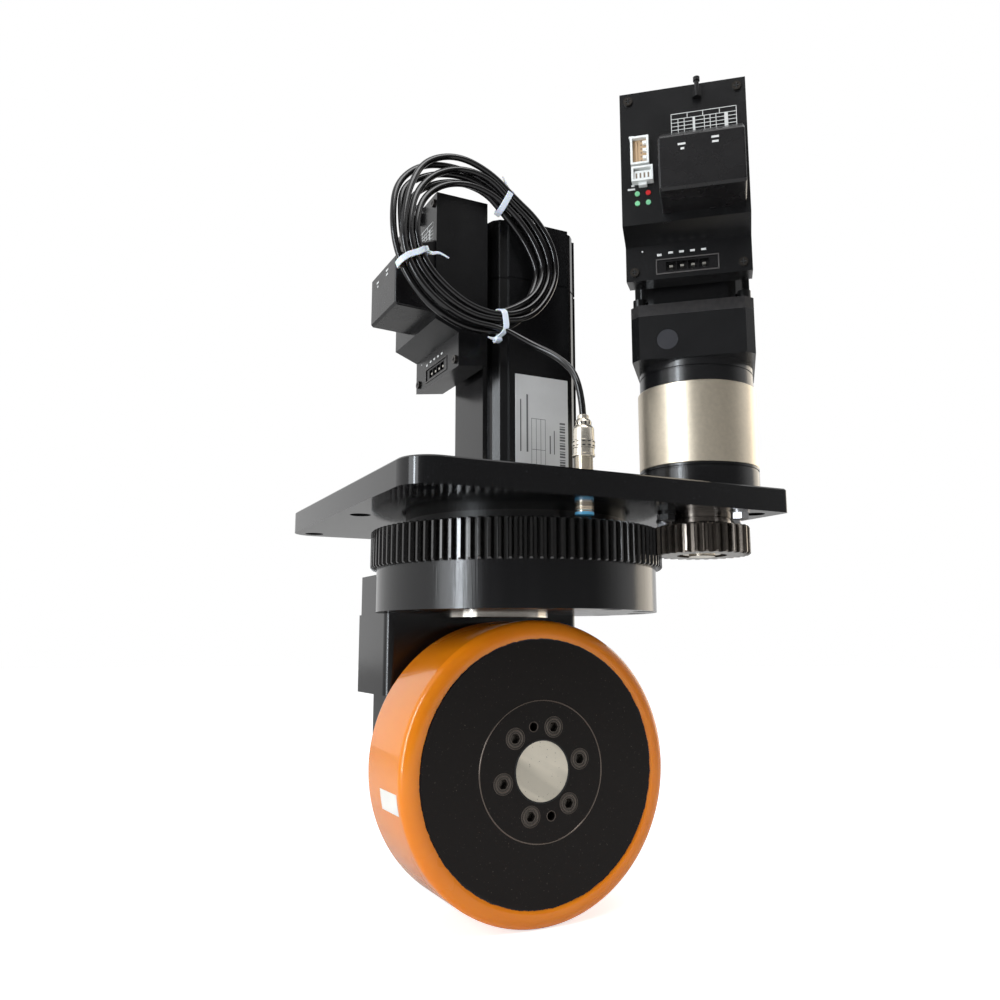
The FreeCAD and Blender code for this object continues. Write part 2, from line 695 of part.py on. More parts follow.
def drive_unit(prefix, x, y, bottom, azimuth):
    """Drive box on the side of a motor: local X points out of the panel, local Y along it."""
    half = drive_w / 2
    outline = [
        (drive_back, drive_foot),
        (lower_out, 0.0),
        (lower_out, lower_h),
        (panel_out, ridge_h),
        (panel_out, drive_h),
        (drive_back, drive_h),
    ]
    shell = prism([V(u, -half, z) for u, z in outline], V(0, drive_w, 0))
    neck_top = drive_h - motor_below_drive - neck_below_motor
    shell = shell.fuse(block(motor_half, drive_back, -neck_half, neck_half, neck_bottom, neck_top))
    back = lower_out - socket_deep
    socket_right = socket_left + socket_w
    socket_top = socket_bottom + socket_h
    shell = shell.cut(block(back, lower_out + 1, socket_left, socket_right, socket_bottom, socket_top))

    gap = 2 * face_gap
    plug = block(back, lower_out - bore_gap, socket_left + gap, socket_right - gap,
                 socket_bottom + gap, socket_top - gap)
    cell_back = back + hole_end_gap
    cell_z = (socket_bottom + socket_top) / 2
    first_pin = socket_left + (socket_w - pin_pitch * (pin_count - 1)) / 2
    pins = []
    for i in range(pin_count):
        t = first_pin + pin_pitch * i
        plug = plug.cut(block(cell_back, lower_out, t - pin_cell_half, t + pin_cell_half,
                              cell_z - pin_cell_h / 2, cell_z + pin_cell_h / 2))
        pins.append(block(cell_back, lower_out - hole_end_gap, t - pin_half, t + pin_half,
                          cell_z - pin_h / 2, cell_z + pin_h / 2))

    out = panel_out
    cover_top = cover_bottom + cover_h
    cover_front_top = cover_bottom + cover_front_h
    cover_outline = [
        (out, cover_bottom),
        (out + cover_out - cover_edge, cover_bottom + cover_draft),
        (out + cover_out, cover_bottom + cover_draft + cover_edge),
        (out + cover_out, cover_front_top - cover_top_edge),
        (out + cover_out - cover_top_edge, cover_front_top),
        (out + cover_slope_out, cover_front_top + cover_slope_h),
        (out, cover_top),
    ]
    cover = prism([V(u, cover_left, z) for u, z in cover_outline], V(0, cover_w, 0))
    sides = []
    for e in cover.Edges:
        inside = e.BoundBox.XMin > out - 0.01 and e.BoundBox.XMax > out + 0.1
        if inside and e.BoundBox.YLength < 0.01:
            sides.append(e)
    cover = cover.makeFillet(cover_round, sides)

    upper_top = drive_h - upper_header_below_top
    lower_top = upper_top - upper_header_h - lower_header_below_upper
    upper_header = header(upper_header_left, upper_header_w, upper_top, upper_header_h)
    lower_header = header(lower_header_left, lower_header_w, lower_top, lower_header_h)

    lamp_top = lower_top - lower_header_h - lamp_below_header
    lamps = []
    for t in (lamp_across, lamp_across + lamp_pitch_across):
        for z in (lamp_top, lamp_top - lamp_pitch_z):
            lamps.append(Part.makeCylinder(lamp_r, lamp_out, V(out, t, z), V(1, 0, 0)))

    heads = []
    for u, z in ((lower_out, panel_screw_inset), (out, drive_h - panel_screw_inset)):
        for t in (-panel_screw_across, panel_screw_across):
            head = Part.makeCylinder(panel_screw_r, panel_screw_out, V(u, t, z), V(1, 0, 0))
            deep = V(u + panel_screw_out / 2, t, z)
            socket = Part.makeCylinder(panel_screw_socket_r, panel_screw_out, deep, V(1, 0, 0))
            heads.append(head.cut(socket))

    post_top = drive_h - post_below_top
    post_bottom = post_top - post_h
    pin_x = out + post_out - face_gap
    pin_top = drive_h + post_pin_above_top
    post = block(out, out + post_out, post_across - post_w / 2, post_across + post_w / 2,
                 post_bottom, post_top)
    post = post.fuse(zcyl(post_pin_r, post_bottom, pin_top, pin_x, post_across))
    post = post.fuse(zcyl(post_knob_r, pin_top - hole_end_gap, pin_top + post_knob_h - hole_end_gap,
                          pin_x, post_across))

    parts = {
        "drive_box": shell,
        "power_connector": plug,
        "power_pins": groups(pins),
        "terminal_cover": cover,
        "signal_headers": groups([upper_header, lower_header]),
        "status_lamps": groups(lamps),
        "panel_screws": groups(heads),
        "cable_post": post,
    }
    for name, shape in parts.items():
        save(prefix + "_" + name, placed(shape, azimuth, x, y, bottom))
    return placed(shell.fuse(cover).fuse(post), azimuth, x, y, bottom)


traction_drive = drive_unit("traction", 0, 0, traction_drive_bottom, traction_drive_azimuth)
drive_unit("steer", pinion_x, pinion_y, steer_drive_bottom, steer_drive_azimuth)

# Steering stack on the plate, from its bolted base up to the motor
base = zcyl(stack_r, plate_t, base_top, pinion_x, pinion_y)
base = base.fuse(zcyl(boss_r, boss_bottom, plate_t, pinion_x, pinion_y))
shaft_bearing_bottom = boss_bottom + shaft_bearing_lip
base = base.cut(zcyl(shaft_bearing_r, shaft_bearing_bottom, base_top + 1, pinion_x, pinion_y))
base = base.cut(zcyl(shaft_r + 1.0, boss_bottom - 1, base_top, pinion_x, pinion_y))
bolt_hole_end = plate_t + gearbox_bolt_depth + hole_end_gap
for x, y in bolt_points:
    base = base.cut(zcyl(m6_r + face_gap, plate_t - 1, bolt_hole_end, x, y))
save("steer_gearbox_base", base)

shaft_bearing_top = base_top - 2 * bore_gap
shaft_bearing = zcyl(shaft_bearing_r, shaft_bearing_bottom, shaft_bearing_top, pinion_x, pinion_y)
shaft_bore = zcyl(shaft_r + running_gap, boss_bottom, base_top, pinion_x, pinion_y)
shaft_bearing = shaft_bearing.cut(shaft_bore)
save("shaft_bearing", shaft_bearing)

ring_gear = tube(stack_r, ring_inner_r, base_top, ring_gear_top, pinion_x, pinion_y)
save("steer_ring_gear", ring_gear)
save("steer_input_collar", zcyl(collar_r, ring_gear_top, collar_top, pinion_x, pinion_y))

adapter = cut_square(block_half, block_corner, collar_top, block_top)
access = V(block_half - access_plug_t, access_plug_across, access_plug_z)
adapter = adapter.cut(Part.makeCylinder(access_plug_r, access_plug_t + 1, access, V(1, 0, 0)))
access_plug_out = access_plug_t - bore_gap
access_plug = Part.makeCylinder(access_plug_r - 2 * face_gap, access_plug_out, access, V(1, 0, 0))
save("clamp_access_plug", placed(access_plug, steer_drive_azimuth, pinion_x, pinion_y))

motor_flange = cut_square(block_half, block_corner, block_top, flange_top)
motor_screws = []
flange_screw_length = flange_top - block_top + flange_screw_depth
flange_hole_end = block_top - flange_screw_depth - hole_end_gap
for x, y in circle((block_half - flange_screw_inset) * math.sqrt(2), 4, 0.5):
    motor_flange = motor_flange.cut(zcyl(m5_r + bore_gap, block_top - 1, flange_top + 1, x, y))
    adapter = adapter.cut(zcyl(m5_r + face_gap, flange_hole_end, block_top + 1, x, y))
    motor_screws.append(
        screw_down(m5_r, flange_top, flange_screw_length, x, y, m5_head_r, m5_head_h, m5_socket_r)
    )
save("steer_adapter_block", placed(adapter, steer_drive_azimuth, pinion_x, pinion_y))
save("steer_motor_flange", placed(motor_flange, steer_drive_azimuth, pinion_x, pinion_y))
save("steer_motor_screws", placed(groups(motor_screws), steer_drive_azimuth, pinion_x, pinion_y))
steer_motor_top = steer_drive_bottom + drive_h - motor_below_drive
steer_motor = motor(flange_top, steer_motor_top)
save("steer_motor_body", placed(steer_motor, steer_drive_azimuth, pinion_x, pinion_y))

# Output shaft with its carrier plate, and the pinion under the plate
carrier_z = base_top + carrier_gap
carrier_top = carrier_z + carrier_t
shaft_bottom = pinion_bottom + pinion_recess + hole_end_gap
shaft = zcyl(shaft_r, shaft_bottom, carrier_top, pinion_x, pinion_y)
shaft = shaft.fuse(zcyl(ring_inner_r - carrier_room, carrier_z, carrier_top, pinion_x, pinion_y))
save("steer_shaft", shaft)

first = pinion_azimuth + 180 + 180.0 / pinion_teeth
pinion = placed(spur_gear(pinion_teeth, pinion_bottom, pinion_top, first), 0, pinion_x, pinion_y)
pinion = pinion.cut(zcyl(shaft_r + face_gap, pinion_bottom - 1, pinion_top + 1, pinion_x, pinion_y))
recess_z = pinion_bottom + pinion_recess
pinion = pinion.cut(zcyl(pinion_recess_r, pinion_bottom - 1, recess_z, pinion_x, pinion_y))
save("steer_pinion", pinion)
hub_bottom = recess_z - retainer_hub_t
retainer = zcyl(retainer_r, recess_z - retainer_t, recess_z, pinion_x, pinion_y)
retainer = retainer.fuse(zcyl(retainer_hub_r, hub_bottom, recess_z, pinion_x, pinion_y))
retainer = retainer.fuse(zcyl(shaft_r, recess_z, shaft_bottom, pinion_x, pinion_y))
save("pinion_retainer", retainer)

# Home sensor through the plate, its nut and its screwed plug
save("sensor_cap", zcyl(sensor_r, sensor_face, sensor_cap_top, sensor_x, sensor_y))
save("home_sensor", zcyl(sensor_r, sensor_cap_top, sensor_barrel_top, sensor_x, sensor_y))
nut_top = plate_t + sensor_nut_t
nut = hexagon(sensor_nut_r, plate_t, nut_top, sensor_x, sensor_y)
nut = nut.cut(zcyl(sensor_r + face_gap, plate_t - 1, nut_top + 1, sensor_x, sensor_y))
save("sensor_nut", nut)
relief_bottom = relief_top - relief_t
plug = zcyl(plug_r, sensor_barrel_top, plug_top, sensor_x, sensor_y)
plug = plug.fuse(zcyl(plug_neck_r, plug_top, relief_bottom, sensor_x, sensor_y))
plug = plug.fuse(zcyl(relief_r, relief_bottom, relief_top, sensor_x, sensor_y))
save("sensor_plug", plug)

# Cable coil that leans on the corner of the traction drive
coil_axis = V(0, -1, coil_lean).normalize()
coil = Part.makeTorus(coil_r, coil_bundle_r, V(coil_x, 0, coil_z), coil_axis)
leaned_on = traction_drive.fuse(motor(reducer_top, traction_motor_top))
low, high = -90.0, -40.0
for i in range(30):
    coil_y = (low + high) / 2
    gap = coil.translated(V(0, coil_y, 0)).distToShape(leaned_on)[0]
    if gap > 0.2:
        low = coil_y
    else:
        high = coil_y
coil_y = low
coil = coil.translated(V(0, coil_y, 0))
print("coil centre y", round(coil_y, 3))
save("cable_coil", coil)

across = V(1, 0, 0)
up = across.cross(coil_axis) * -1
ties = []
coil_room = Part.makeTorus(coil_r, coil_bundle_r + face_gap, V(coil_x, coil_y, coil_z), coil_axis)
for degrees, turn in zip(tie_azimuths, tie_head_turns):
    a = math.radians(degrees)
    radial = across * math.cos(a) + up * math.sin(a)
    along = across * -math.sin(a) + up * math.cos(a)
    middle = V(coil_x, coil_y, coil_z) + radial * coil_r
    band = Part.makeCylinder(coil_bundle_r + tie_t, tie_w, middle - along * (tie_w / 2), along)
    corner = V(-tie_head / 2, coil_bundle_r + tie_t / 2, -tie_head / 2)
    head = Part.makeBox(tie_head, tie_head, tie_head, corner)
    head.rotate(V(0, 0, 0), V(0, 0, 1), -turn)
    facing = FreeCAD.Rotation(radial, coil_axis, along, "ZYX")
    head.Placement = FreeCAD.Placement(middle, facing).multiply(head.Placement)
    ties.append(band.fuse(head).cut(coil_room))

# Lead from the plug up to the coil: straight runs joined by arcs
start = V(sensor_x, sensor_y, relief_top + bore_gap)
foot = V(coil_x, coil_y, coil_z) - up * coil_r
route = [
    start,
    V(-2.5, -96.0, 84.0),
    V(-9.0, -80.0, 102.0),
    V(-24.0, -66.0, 114.0),
    V(-44.0, foot.y, foot.z + 1.0),
]


def cord_tube(points, radius):
    """Round cord along straight runs joined by tangent arcs."""
    pieces = []
    last = points[0]
    for i in range(1, len(points) - 1):
        a, b, c = points[i - 1], points[i], points[i + 1]
        into = (b - a).normalize()
        out = (c - b).normalize()
        turn = into.getAngle(out)
        reach = 0.45 * min((b - a).Length, (c - b).Length)
        bend = reach / math.tan(turn / 2)
        print("bend radius", round(bend, 1), "run", round((b - a).Length, 1))
        p, q = b - into * reach, b + out * reach
        middle = b + ((p + q) * 0.5 - b).normalize() * (bend / math.cos(turn / 2) - bend)
        pieces.append(Part.LineSegment(last, p).toShape())
        pieces.append(Part.Arc(p, middle, q).toShape())
        last = q
    pieces.append(Part.LineSegment(last, points[-1]).toShape())
    path = Part.Wire(pieces)
    section = Part.Wire(Part.makeCircle(radius, points[0], points[1] - points[0]))
    solid = path.makePipeShell([section], True, True)
    print("cord volume ratio", round(solid.Volume / (math.pi * radius ** 2 * path.Length), 4))
    print("cord length", round(path.Length, 1))
    return solid


lead = cord_tube(route, cord_r).cut(coil)
lead = max(lead.Solids, key=lambda s: s.Volume)
save("sensor_cable_lead", lead)
lead_room = cord_tube(route, cord_r + bore_gap)
save("cable_ties", groups([tie.cut(lead_room) for tie in ties]))
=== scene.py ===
import math

import bpy
import bmesh
from mathutils import Matrix, Vector


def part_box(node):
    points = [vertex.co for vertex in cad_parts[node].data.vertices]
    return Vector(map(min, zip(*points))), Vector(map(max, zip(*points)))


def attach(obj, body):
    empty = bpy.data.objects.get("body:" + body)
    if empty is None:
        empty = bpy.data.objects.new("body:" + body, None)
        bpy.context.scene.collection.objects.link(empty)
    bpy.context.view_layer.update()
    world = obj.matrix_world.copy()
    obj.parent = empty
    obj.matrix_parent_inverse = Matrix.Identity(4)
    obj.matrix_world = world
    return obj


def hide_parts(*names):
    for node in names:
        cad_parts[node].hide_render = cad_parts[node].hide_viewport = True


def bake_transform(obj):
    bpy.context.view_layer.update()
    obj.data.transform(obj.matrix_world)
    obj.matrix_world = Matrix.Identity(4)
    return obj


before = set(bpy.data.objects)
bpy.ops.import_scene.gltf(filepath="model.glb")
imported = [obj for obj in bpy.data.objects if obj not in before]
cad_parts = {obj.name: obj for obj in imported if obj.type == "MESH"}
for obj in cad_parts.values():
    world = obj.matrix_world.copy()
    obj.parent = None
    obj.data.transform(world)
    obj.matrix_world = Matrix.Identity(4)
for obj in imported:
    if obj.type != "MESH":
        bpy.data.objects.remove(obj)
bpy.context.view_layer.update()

MM = 0.001

# Places and sizes shared with the construction, in millimetres
PINION_AT = (93.338, -93.338)
AXLE_Z = -168.3
WHEEL_FRONT = -37.5
TYRE_REAR = 32.5
TYRE_R = 99.0
TYRE_SHOULDER = 8.0
# The front shoulder: a small round at the tread, then a wide one down to the side, which meet at
# SHOULDER_TURN degrees; each with its radius and how far its middle is in from the tread and side
SHOULDER_R = 5.0
SHOULDER_AT = 5.97
SHOULDER_TURN = -58
SIDE_R = 11.4
SIDE_IN = 8.39
STICKER_TURN = (-174.6, -167.0)
STICKER_Y = (-29.0, 2.0)
HUB_R = 85.8
GROOVE_R = 45.8
HUB_SCREW_CIRCLE = 29.5
HUB_SCREW_TURN = 12.5
HUB_SCREWS = 6
# Rims on the hub as radius, depth behind its face and thickness: pale rims on the screws' and holes' edges as
# painted highlights, and a dark rim as painted shade in the shaft's gap
SCREW_RIMS = ((6.85, 0.0, 0.2), (5.2, 0.2, 0.5), (3.5, 0.25, 0.2))
JACK_RIM = (3.2, 0.0, 0.28)
SHAFT_RIM = (20.2, -0.02, 0.6)
RIM_STEPS = 48
RIM_SIDES = 8
STACK_R = 40.0
BASE_TOP = 30.6
RING_TOP = 85.3
COLLAR_R = 38.5
BOSS_R = 20.0
BOSS_BOTTOM = -6.2
COLLAR_TOP = 101.0
PLATE_T = 16.0
SENSOR_AT = (-2.0, -98.0)
PLUG_TOP = 52.0
RELIEF_TOP = 59.0
PLUG_SLOTS = 12
PANEL_OUT = 80.5
LOWER_OUT = 63.5
DRIVE_H = 121.5
PRINT_LIFT = 0.08
TABLE = (-6.9, 33.3, 89.0, 102.6)
UPPER_HEADER = (-32.8, 69.0, -21.3, 88.0)
LOWER_HEADER = (-32.5, 57.5, -19.0, 67.5)
SOCKET = (-19.5, 4.0, 18.5, 12.7)
PIN_FIRST = -10.85
PIN_PITCH = 6.9
SCREW_INSET = 5.85
SCREW_OUT = 1.4
SCREW_ACROSS = 34.0
LABEL = (-19.7, 32.0, 22.5, 101.0)
COVER_OUT = 108.5
MOTOR_FRONT = -38.0
DRIVES = {
    "steer": dict(at=(PINION_AT[0], PINION_AT[1], 146.3), azimuth=-131.0, body="mount"),
    "traction": dict(at=(0.0, 0.0, 100.0), azimuth=180.0, body="turret"),
}

# The camera that the photograph was taken with
CAMERA_AT = (-293.0, -566.5, -83.0)
CAMERA_YAW = 26.33
CAMERA_PITCH = 9.03
CAMERA_LENS = 31.81

# The hub's paint on the tyre: how far it laps and how much its edge wanders
PAINT_LAP = -0.6
PAINT_WAVE = 2.6
# Painted reflection streaks on the shaft's end, drawn as slanting bands: their slant, how drawn out they are,
# and their dark and light
BAND_SLANT = 28
BAND_STRETCH = 10.0
BAND_TONES = (0.8, 1.15)

# Light: the room's fill, what metal sees of it, the dark wall in front, and the lamps
SKY_FILL = 0.5
SKY_GLOSS = 0.9
FLOOR_GLOW = 0.05
DARK_WALL = -95.0
WALL_FADE = (0.2, 0.8, 1.0, 0.16)
LAMPS = (
    ("left_window", (-1.44, -0.42, 0.26), (0.8, 1.25), 10.0, (0.93, 0.97, 1.0)),
    ("left_slit", (-1.38, -0.5, 0.3), (0.08, 1.3), 9.0, (0.86, 0.93, 1.0)),
    ("high_front", (-0.05, -0.95, 1.65), (1.3, 0.9), 19.0, (1.0, 1.0, 1.0)),
    ("right_warm", (1.5, 0.2, 0.2), (0.9, 1.0), 5.2, (1.0, 0.87, 0.68)),
)

# The sensor cable: its lead from the plug, then its turns in the tied coil
CORD_R = 2.2
COIL_LEAN = 0.12
COIL_START = 282.0
COIL_STATIONS = 16
STRAND_OUT = 2.4
ROUND_UP = 1.014
# Each turn's layer in the bundle, 1 in front and -1 behind, and its distance from the coil's middle
# at each station, clockwise from the foot. The distances go back to points picked on the
# photograph and projected onto the coil's plane. ROUND_UP makes up for the curve's cut corners.
TURNS = (
    (1, (59.5, 59.0, 57.8, 57.1, 56.5, 55.4, 60.0, 68.4, 68.6, 60.5, 52.0, 54.6, 57.8, 59.2, 58.2, 58.6)),
    (1, (54.6, 53.2, 51.1, 50.9, 51.2, 51.0, 54.6, 57.5, 58.7, 55.8, 46.8, 48.4, 51.0, 54.2, 53.9, 53.2)),
    (1, (50.6, 47.6, 44.6, 44.8, 46.0, 46.8, 48.8, 48.6, 47.2, 44.4, 41.6, 41.6, 44.2, 49.2, 49.4, 48.0)),
    (-1, (47.8, 49.6, 48.0, 47.9, 49.0, 51.6, 56.0, 53.2, 50.8, 46.9, 39.0, 38.0, 40.7, 46.7, 47.6, 51.6)),
    (-1, (56.6, 56.1, 54.4, 54.0, 54.0, 56.0, 64.4, 60.3, 56.5, 51.2, 44.2, 45.0, 47.6, 51.7, 51.8, 56.0)),
    (-1, (61.0, 61.9, 61.2, 60.2, 60.0, 61.8, 68.6, 68.6, 62.5, 55.5, 49.4, 51.2, 54.4, 56.7, 56.1)),
)
# Each tie: where it is on the coil, its middle and half breadth across the strands, where its
# head is round them, its lean in front and at the ends, and its tail from the head as (away from
# the coil's middle, outward, along the strands)
TIE_OUT = 5.1
TIE_BAND = (4.2, 1.0)
TIE_TAIL = (2.9, 0.9)
TIE_TAPER = 0.3
TIES = {
    "upper": (62.0, 44.6, 9.2, 0.0, 0.0, 0.0, ((1.6, 0.5, 1.4), (3.4, 0.8, 4.4), (7.6, 1.2, 10.2))),
    "left": (199.6, 53.2, 10.4, 180.0, 0.0, 3.0,
             ((-2.5, 1.0, 3.4), (-7.5, 1.0, 3.0), (-10.5, 1.2, 4.8), (-14.0, 1.5, 8.4))),
    "lower": (280.6, 56.6, 9.2, 0.0, 4.0, -2.5, ((0.4, 0.6, -4.0), (-1.2, 1.0, -7.6))),
}
LEAD = [
    (-2.0, -98.0, 59.0),
    (-2.5, -96.0, 84.0),
    (-9.0, -80.0, 102.0),
    (-24.0, -66.0, 114.0),
]


def linear(value):
    """A screen value from 0 to 255 as linear light."""
    v = value / 255
    return v / 12.92 if v <= 0.04045 else ((v + 0.055) / 1.055) ** 2.4


def rgb(r, g, b):
    """A screen colour as linear light."""
    return (linear(r), linear(g), linear(b), 1.0)


# Materials


def finish(name, colour, roughness, metallic=0.0, second=None, mottle=60.0, spread=0.06,
           grain=0.0, grain_scale=1500.0, specular=0.5, coat=0.0, coat_roughness=0.1,
           subsurface=0.0, stretch=(1, 1, 1), specks=None):
    """A procedural surface: mottled colour, uneven gloss and a fine grain in the bump."""
    mat = bpy.data.materials.new(name)
    mat.use_nodes = True
    tree = mat.node_tree
    shader = tree.nodes["Principled BSDF"]
    shader.inputs["Metallic"].default_value = metallic
    shader.inputs["Specular IOR Level"].default_value = specular
    shader.inputs["Coat Weight"].default_value = coat
    shader.inputs["Coat Roughness"].default_value = coat_roughness
    if subsurface:
        shader.inputs["Subsurface Weight"].default_value = subsurface
        shader.inputs["Subsurface Radius"].default_value = (1.0, 0.55, 0.2)
        shader.inputs["Subsurface Scale"].default_value = 4 * MM
    coords = tree.nodes.new("ShaderNodeTexCoord")
    mapping = tree.nodes.new("ShaderNodeMapping")
    mapping.inputs["Scale"].default_value = stretch
    tree.links.new(coords.outputs["Object"], mapping.inputs["Vector"])

    patches = tree.nodes.new("ShaderNodeTexNoise")
    patches.inputs["Scale"].default_value = mottle
    patches.inputs["Detail"].default_value = 4.0
    tree.links.new(mapping.outputs["Vector"], patches.inputs["Vector"])

    mix = tree.nodes.new("ShaderNodeMix")
    mix.data_type = "RGBA"
    mix.inputs["A"].default_value = colour
    mix.inputs["B"].default_value = second or [c * 1.25 for c in colour[:3]] + [1.0]
    tree.links.new(patches.outputs["Fac"], mix.inputs["Factor"])
    tree.links.new(mix.outputs["Result"], shader.inputs["Base Color"])
    if specks:
        dust = tree.nodes.new("ShaderNodeTexNoise")
        dust.inputs["Scale"].default_value = 900.0
        dust.inputs["Detail"].default_value = 3.0
        tree.links.new(coords.outputs["Object"], dust.inputs["Vector"])
        level = tree.nodes.new("ShaderNodeMapRange")
        level.inputs["From Min"].default_value = 0.68
        level.inputs["From Max"].default_value = 0.74
        tree.links.new(dust.outputs["Fac"], level.inputs["Value"])
        over = tree.nodes.new("ShaderNodeMix")
        over.data_type = "RGBA"
        over.inputs["B"].default_value = specks
        tree.links.new(mix.outputs["Result"], over.inputs["A"])
        tree.links.new(level.outputs["Result"], over.inputs["Factor"])
        tree.links.new(over.outputs["Result"], shader.inputs["Base Color"])

    gloss = tree.nodes.new("ShaderNodeMapRange")
    gloss.inputs["To Min"].default_value = max(0.02, roughness - spread)
    gloss.inputs["To Max"].default_value = min(1.0, roughness + spread)
    tree.links.new(patches.outputs["Fac"], gloss.inputs["Value"])
    tree.links.new(gloss.outputs["Result"], shader.inputs["Roughness"])

    if grain:
        fine = tree.nodes.new("ShaderNodeTexNoise")
        fine.inputs["Scale"].default_value = grain_scale
        fine.inputs["Detail"].default_value = 2.0
        tree.links.new(mapping.outputs["Vector"], fine.inputs["Vector"])
        bump = tree.nodes.new("ShaderNodeBump")
        bump.inputs["Strength"].default_value = grain
        bump.inputs["Distance"].default_value = 0.1 * MM
        tree.links.new(fine.outputs["Fac"], bump.inputs["Height"])
        tree.links.new(bump.outputs["Normal"], shader.inputs["Normal"])
    return mat


M = {
    "plate": finish("anodised_gloss", rgb(14, 14, 15), 0.11, spread=0.03, grain=0.02, grain_scale=700.0,
                    stretch=(1.0, 0.08, 1.0), specks=rgb(44, 44, 46)),
    "turret": finish("anodised_ring", rgb(14, 14, 15), 0.17, spread=0.05, mottle=160.0, grain=0.5,
                     grain_scale=1100.0, stretch=(1.0, 1.0, 0.03)),
    "block": finish("anodised_satin", rgb(20, 20, 21), 0.2, grain=0.08),
    "gear": finish("black_oxide", rgb(13, 13, 14), 0.15, second=rgb(28, 26, 25), mottle=250.0,
                   grain=0.06, specular=1.0),
    "pinion": finish("oiled_steel", rgb(92, 87, 82), 0.2, metallic=0.85, second=rgb(126, 118, 110),
                     mottle=220.0, grain=0.08),
    "plug": finish("access_plug", rgb(46, 46, 50), 0.36, grain=0.1),
    "oxide": finish("oxide_ring", rgb(18, 17, 17), 0.32, metallic=0.2, grain=0.08),
    "steel": finish("ground_steel", rgb(165, 162, 156), 0.3, metallic=1.0, grain=0.05),
    "spigot": finish("machined_bright", rgb(186, 180, 172), 0.12, metallic=1.0),
    "silver": finish("satin_anodised", rgb(208, 197, 178), 0.36, metallic=0.92, spread=0.03,
                     mottle=400.0, grain=0.5, grain_scale=1000.0),
    "cast_black": finish("painted_casting", rgb(14, 14, 15), 0.15, grain=0.1, grain_scale=900.0,
                         spread=0.04, specks=rgb(40, 40, 42)),
    "cast_grey": finish("dusty_casting", rgb(24, 24, 26), 0.5, second=rgb(58, 55, 54), mottle=300.0,
                        grain=0.8, grain_scale=1200.0, specular=0.3),
    "drive": finish("textured_black", rgb(14, 14, 15), 0.25, grain=0.2, grain_scale=2600.0,
                    specular=0.4, specks=rgb(34, 34, 35)),
    "motor": finish("motor_black", rgb(15, 15, 16), 0.22, grain=0.08, grain_scale=2000.0),
    "cover": finish("cover_black", rgb(17, 16, 17), 0.27, grain=0.25, grain_scale=2200.0, specular=0.4,
                    specks=rgb(40, 38, 37)),
    "hub": finish("hub_matt", rgb(19, 16, 15), 0.5, second=rgb(25, 21, 19), mottle=400.0, grain=0.5,
                  grain_scale=1400.0, specular=0.18, specks=rgb(76, 68, 62)),
    "screw": finish("screw_black", rgb(22, 22, 22), 0.3, metallic=0.4, grain=0.1),
    "bright_screw": finish("oiled_screw", rgb(66, 62, 58), 0.22, metallic=0.8, grain=0.05),
    # Pale metal for the hub's groove ring: a painted highlight.
    "groove": finish("groove_painted_highlight", rgb(90, 82, 76), 0.2, metallic=0.9),
    "zinc": finish("zinc_plated", rgb(170, 170, 172), 0.3, metallic=1.0, grain=0.1),
    "nickel": finish("nickel_plated", rgb(226, 218, 204), 0.22, metallic=0.9),
    "tin": finish("tinned_pin", rgb(206, 203, 194), 0.3, metallic=1.0),
    "blue": finish("sensor_blue", rgb(96, 178, 222), 0.3, coat=0.4),
    "white": finish("header_white", rgb(216, 218, 216), 0.5, grain=0.1),
    "tan": finish("header_tan", rgb(176, 148, 116), 0.55, grain=0.2),
    # Darker tan for the header slots: painted shade.
    "shade": finish("header_slot_painted_shade", rgb(112, 98, 84), 0.6),
    "print": finish("white_print", rgb(198, 198, 196), 0.6),
    "rim": finish("socket_rim", rgb(70, 67, 66), 0.4, grain=0.1),
    # Pale metal for the hub's rims: a painted highlight.
    "rim_painted_highlight": finish("hub_rims_painted_highlight", rgb(82, 74, 68), 0.42, metallic=0.5),
    "paper": finish("blank_paper", rgb(220, 218, 212), 0.5, grain=0.1),
    "green": finish("lamp_green", rgb(120, 190, 145), 0.22, coat=0.5, subsurface=0.3),
    "red": finish("lamp_red", rgb(196, 32, 34), 0.22, coat=0.5, subsurface=0.3),
    "seal": finish("seal_rubber", rgb(20, 20, 20), 0.6),
    "cable": finish("cable_jacket", rgb(12, 11, 12), 0.14, grain=0.03, specular=0.35, coat=0.35,
                    coat_roughness=0.05),
    "tie": finish("nylon_white", rgb(214, 220, 228), 0.36, subsurface=0.3),
    "label": finish("label_silver", rgb(206, 206, 206), 0.42, metallic=0.1, grain=0.05),
    "line": finish("label_line", rgb(98, 98, 99), 0.6),
    # Flat near-black marks for slots, recesses and the shaft's gap: painted shade.
    "dark": finish("flat_painted_shade", rgb(9, 9, 9), 0.7),
}


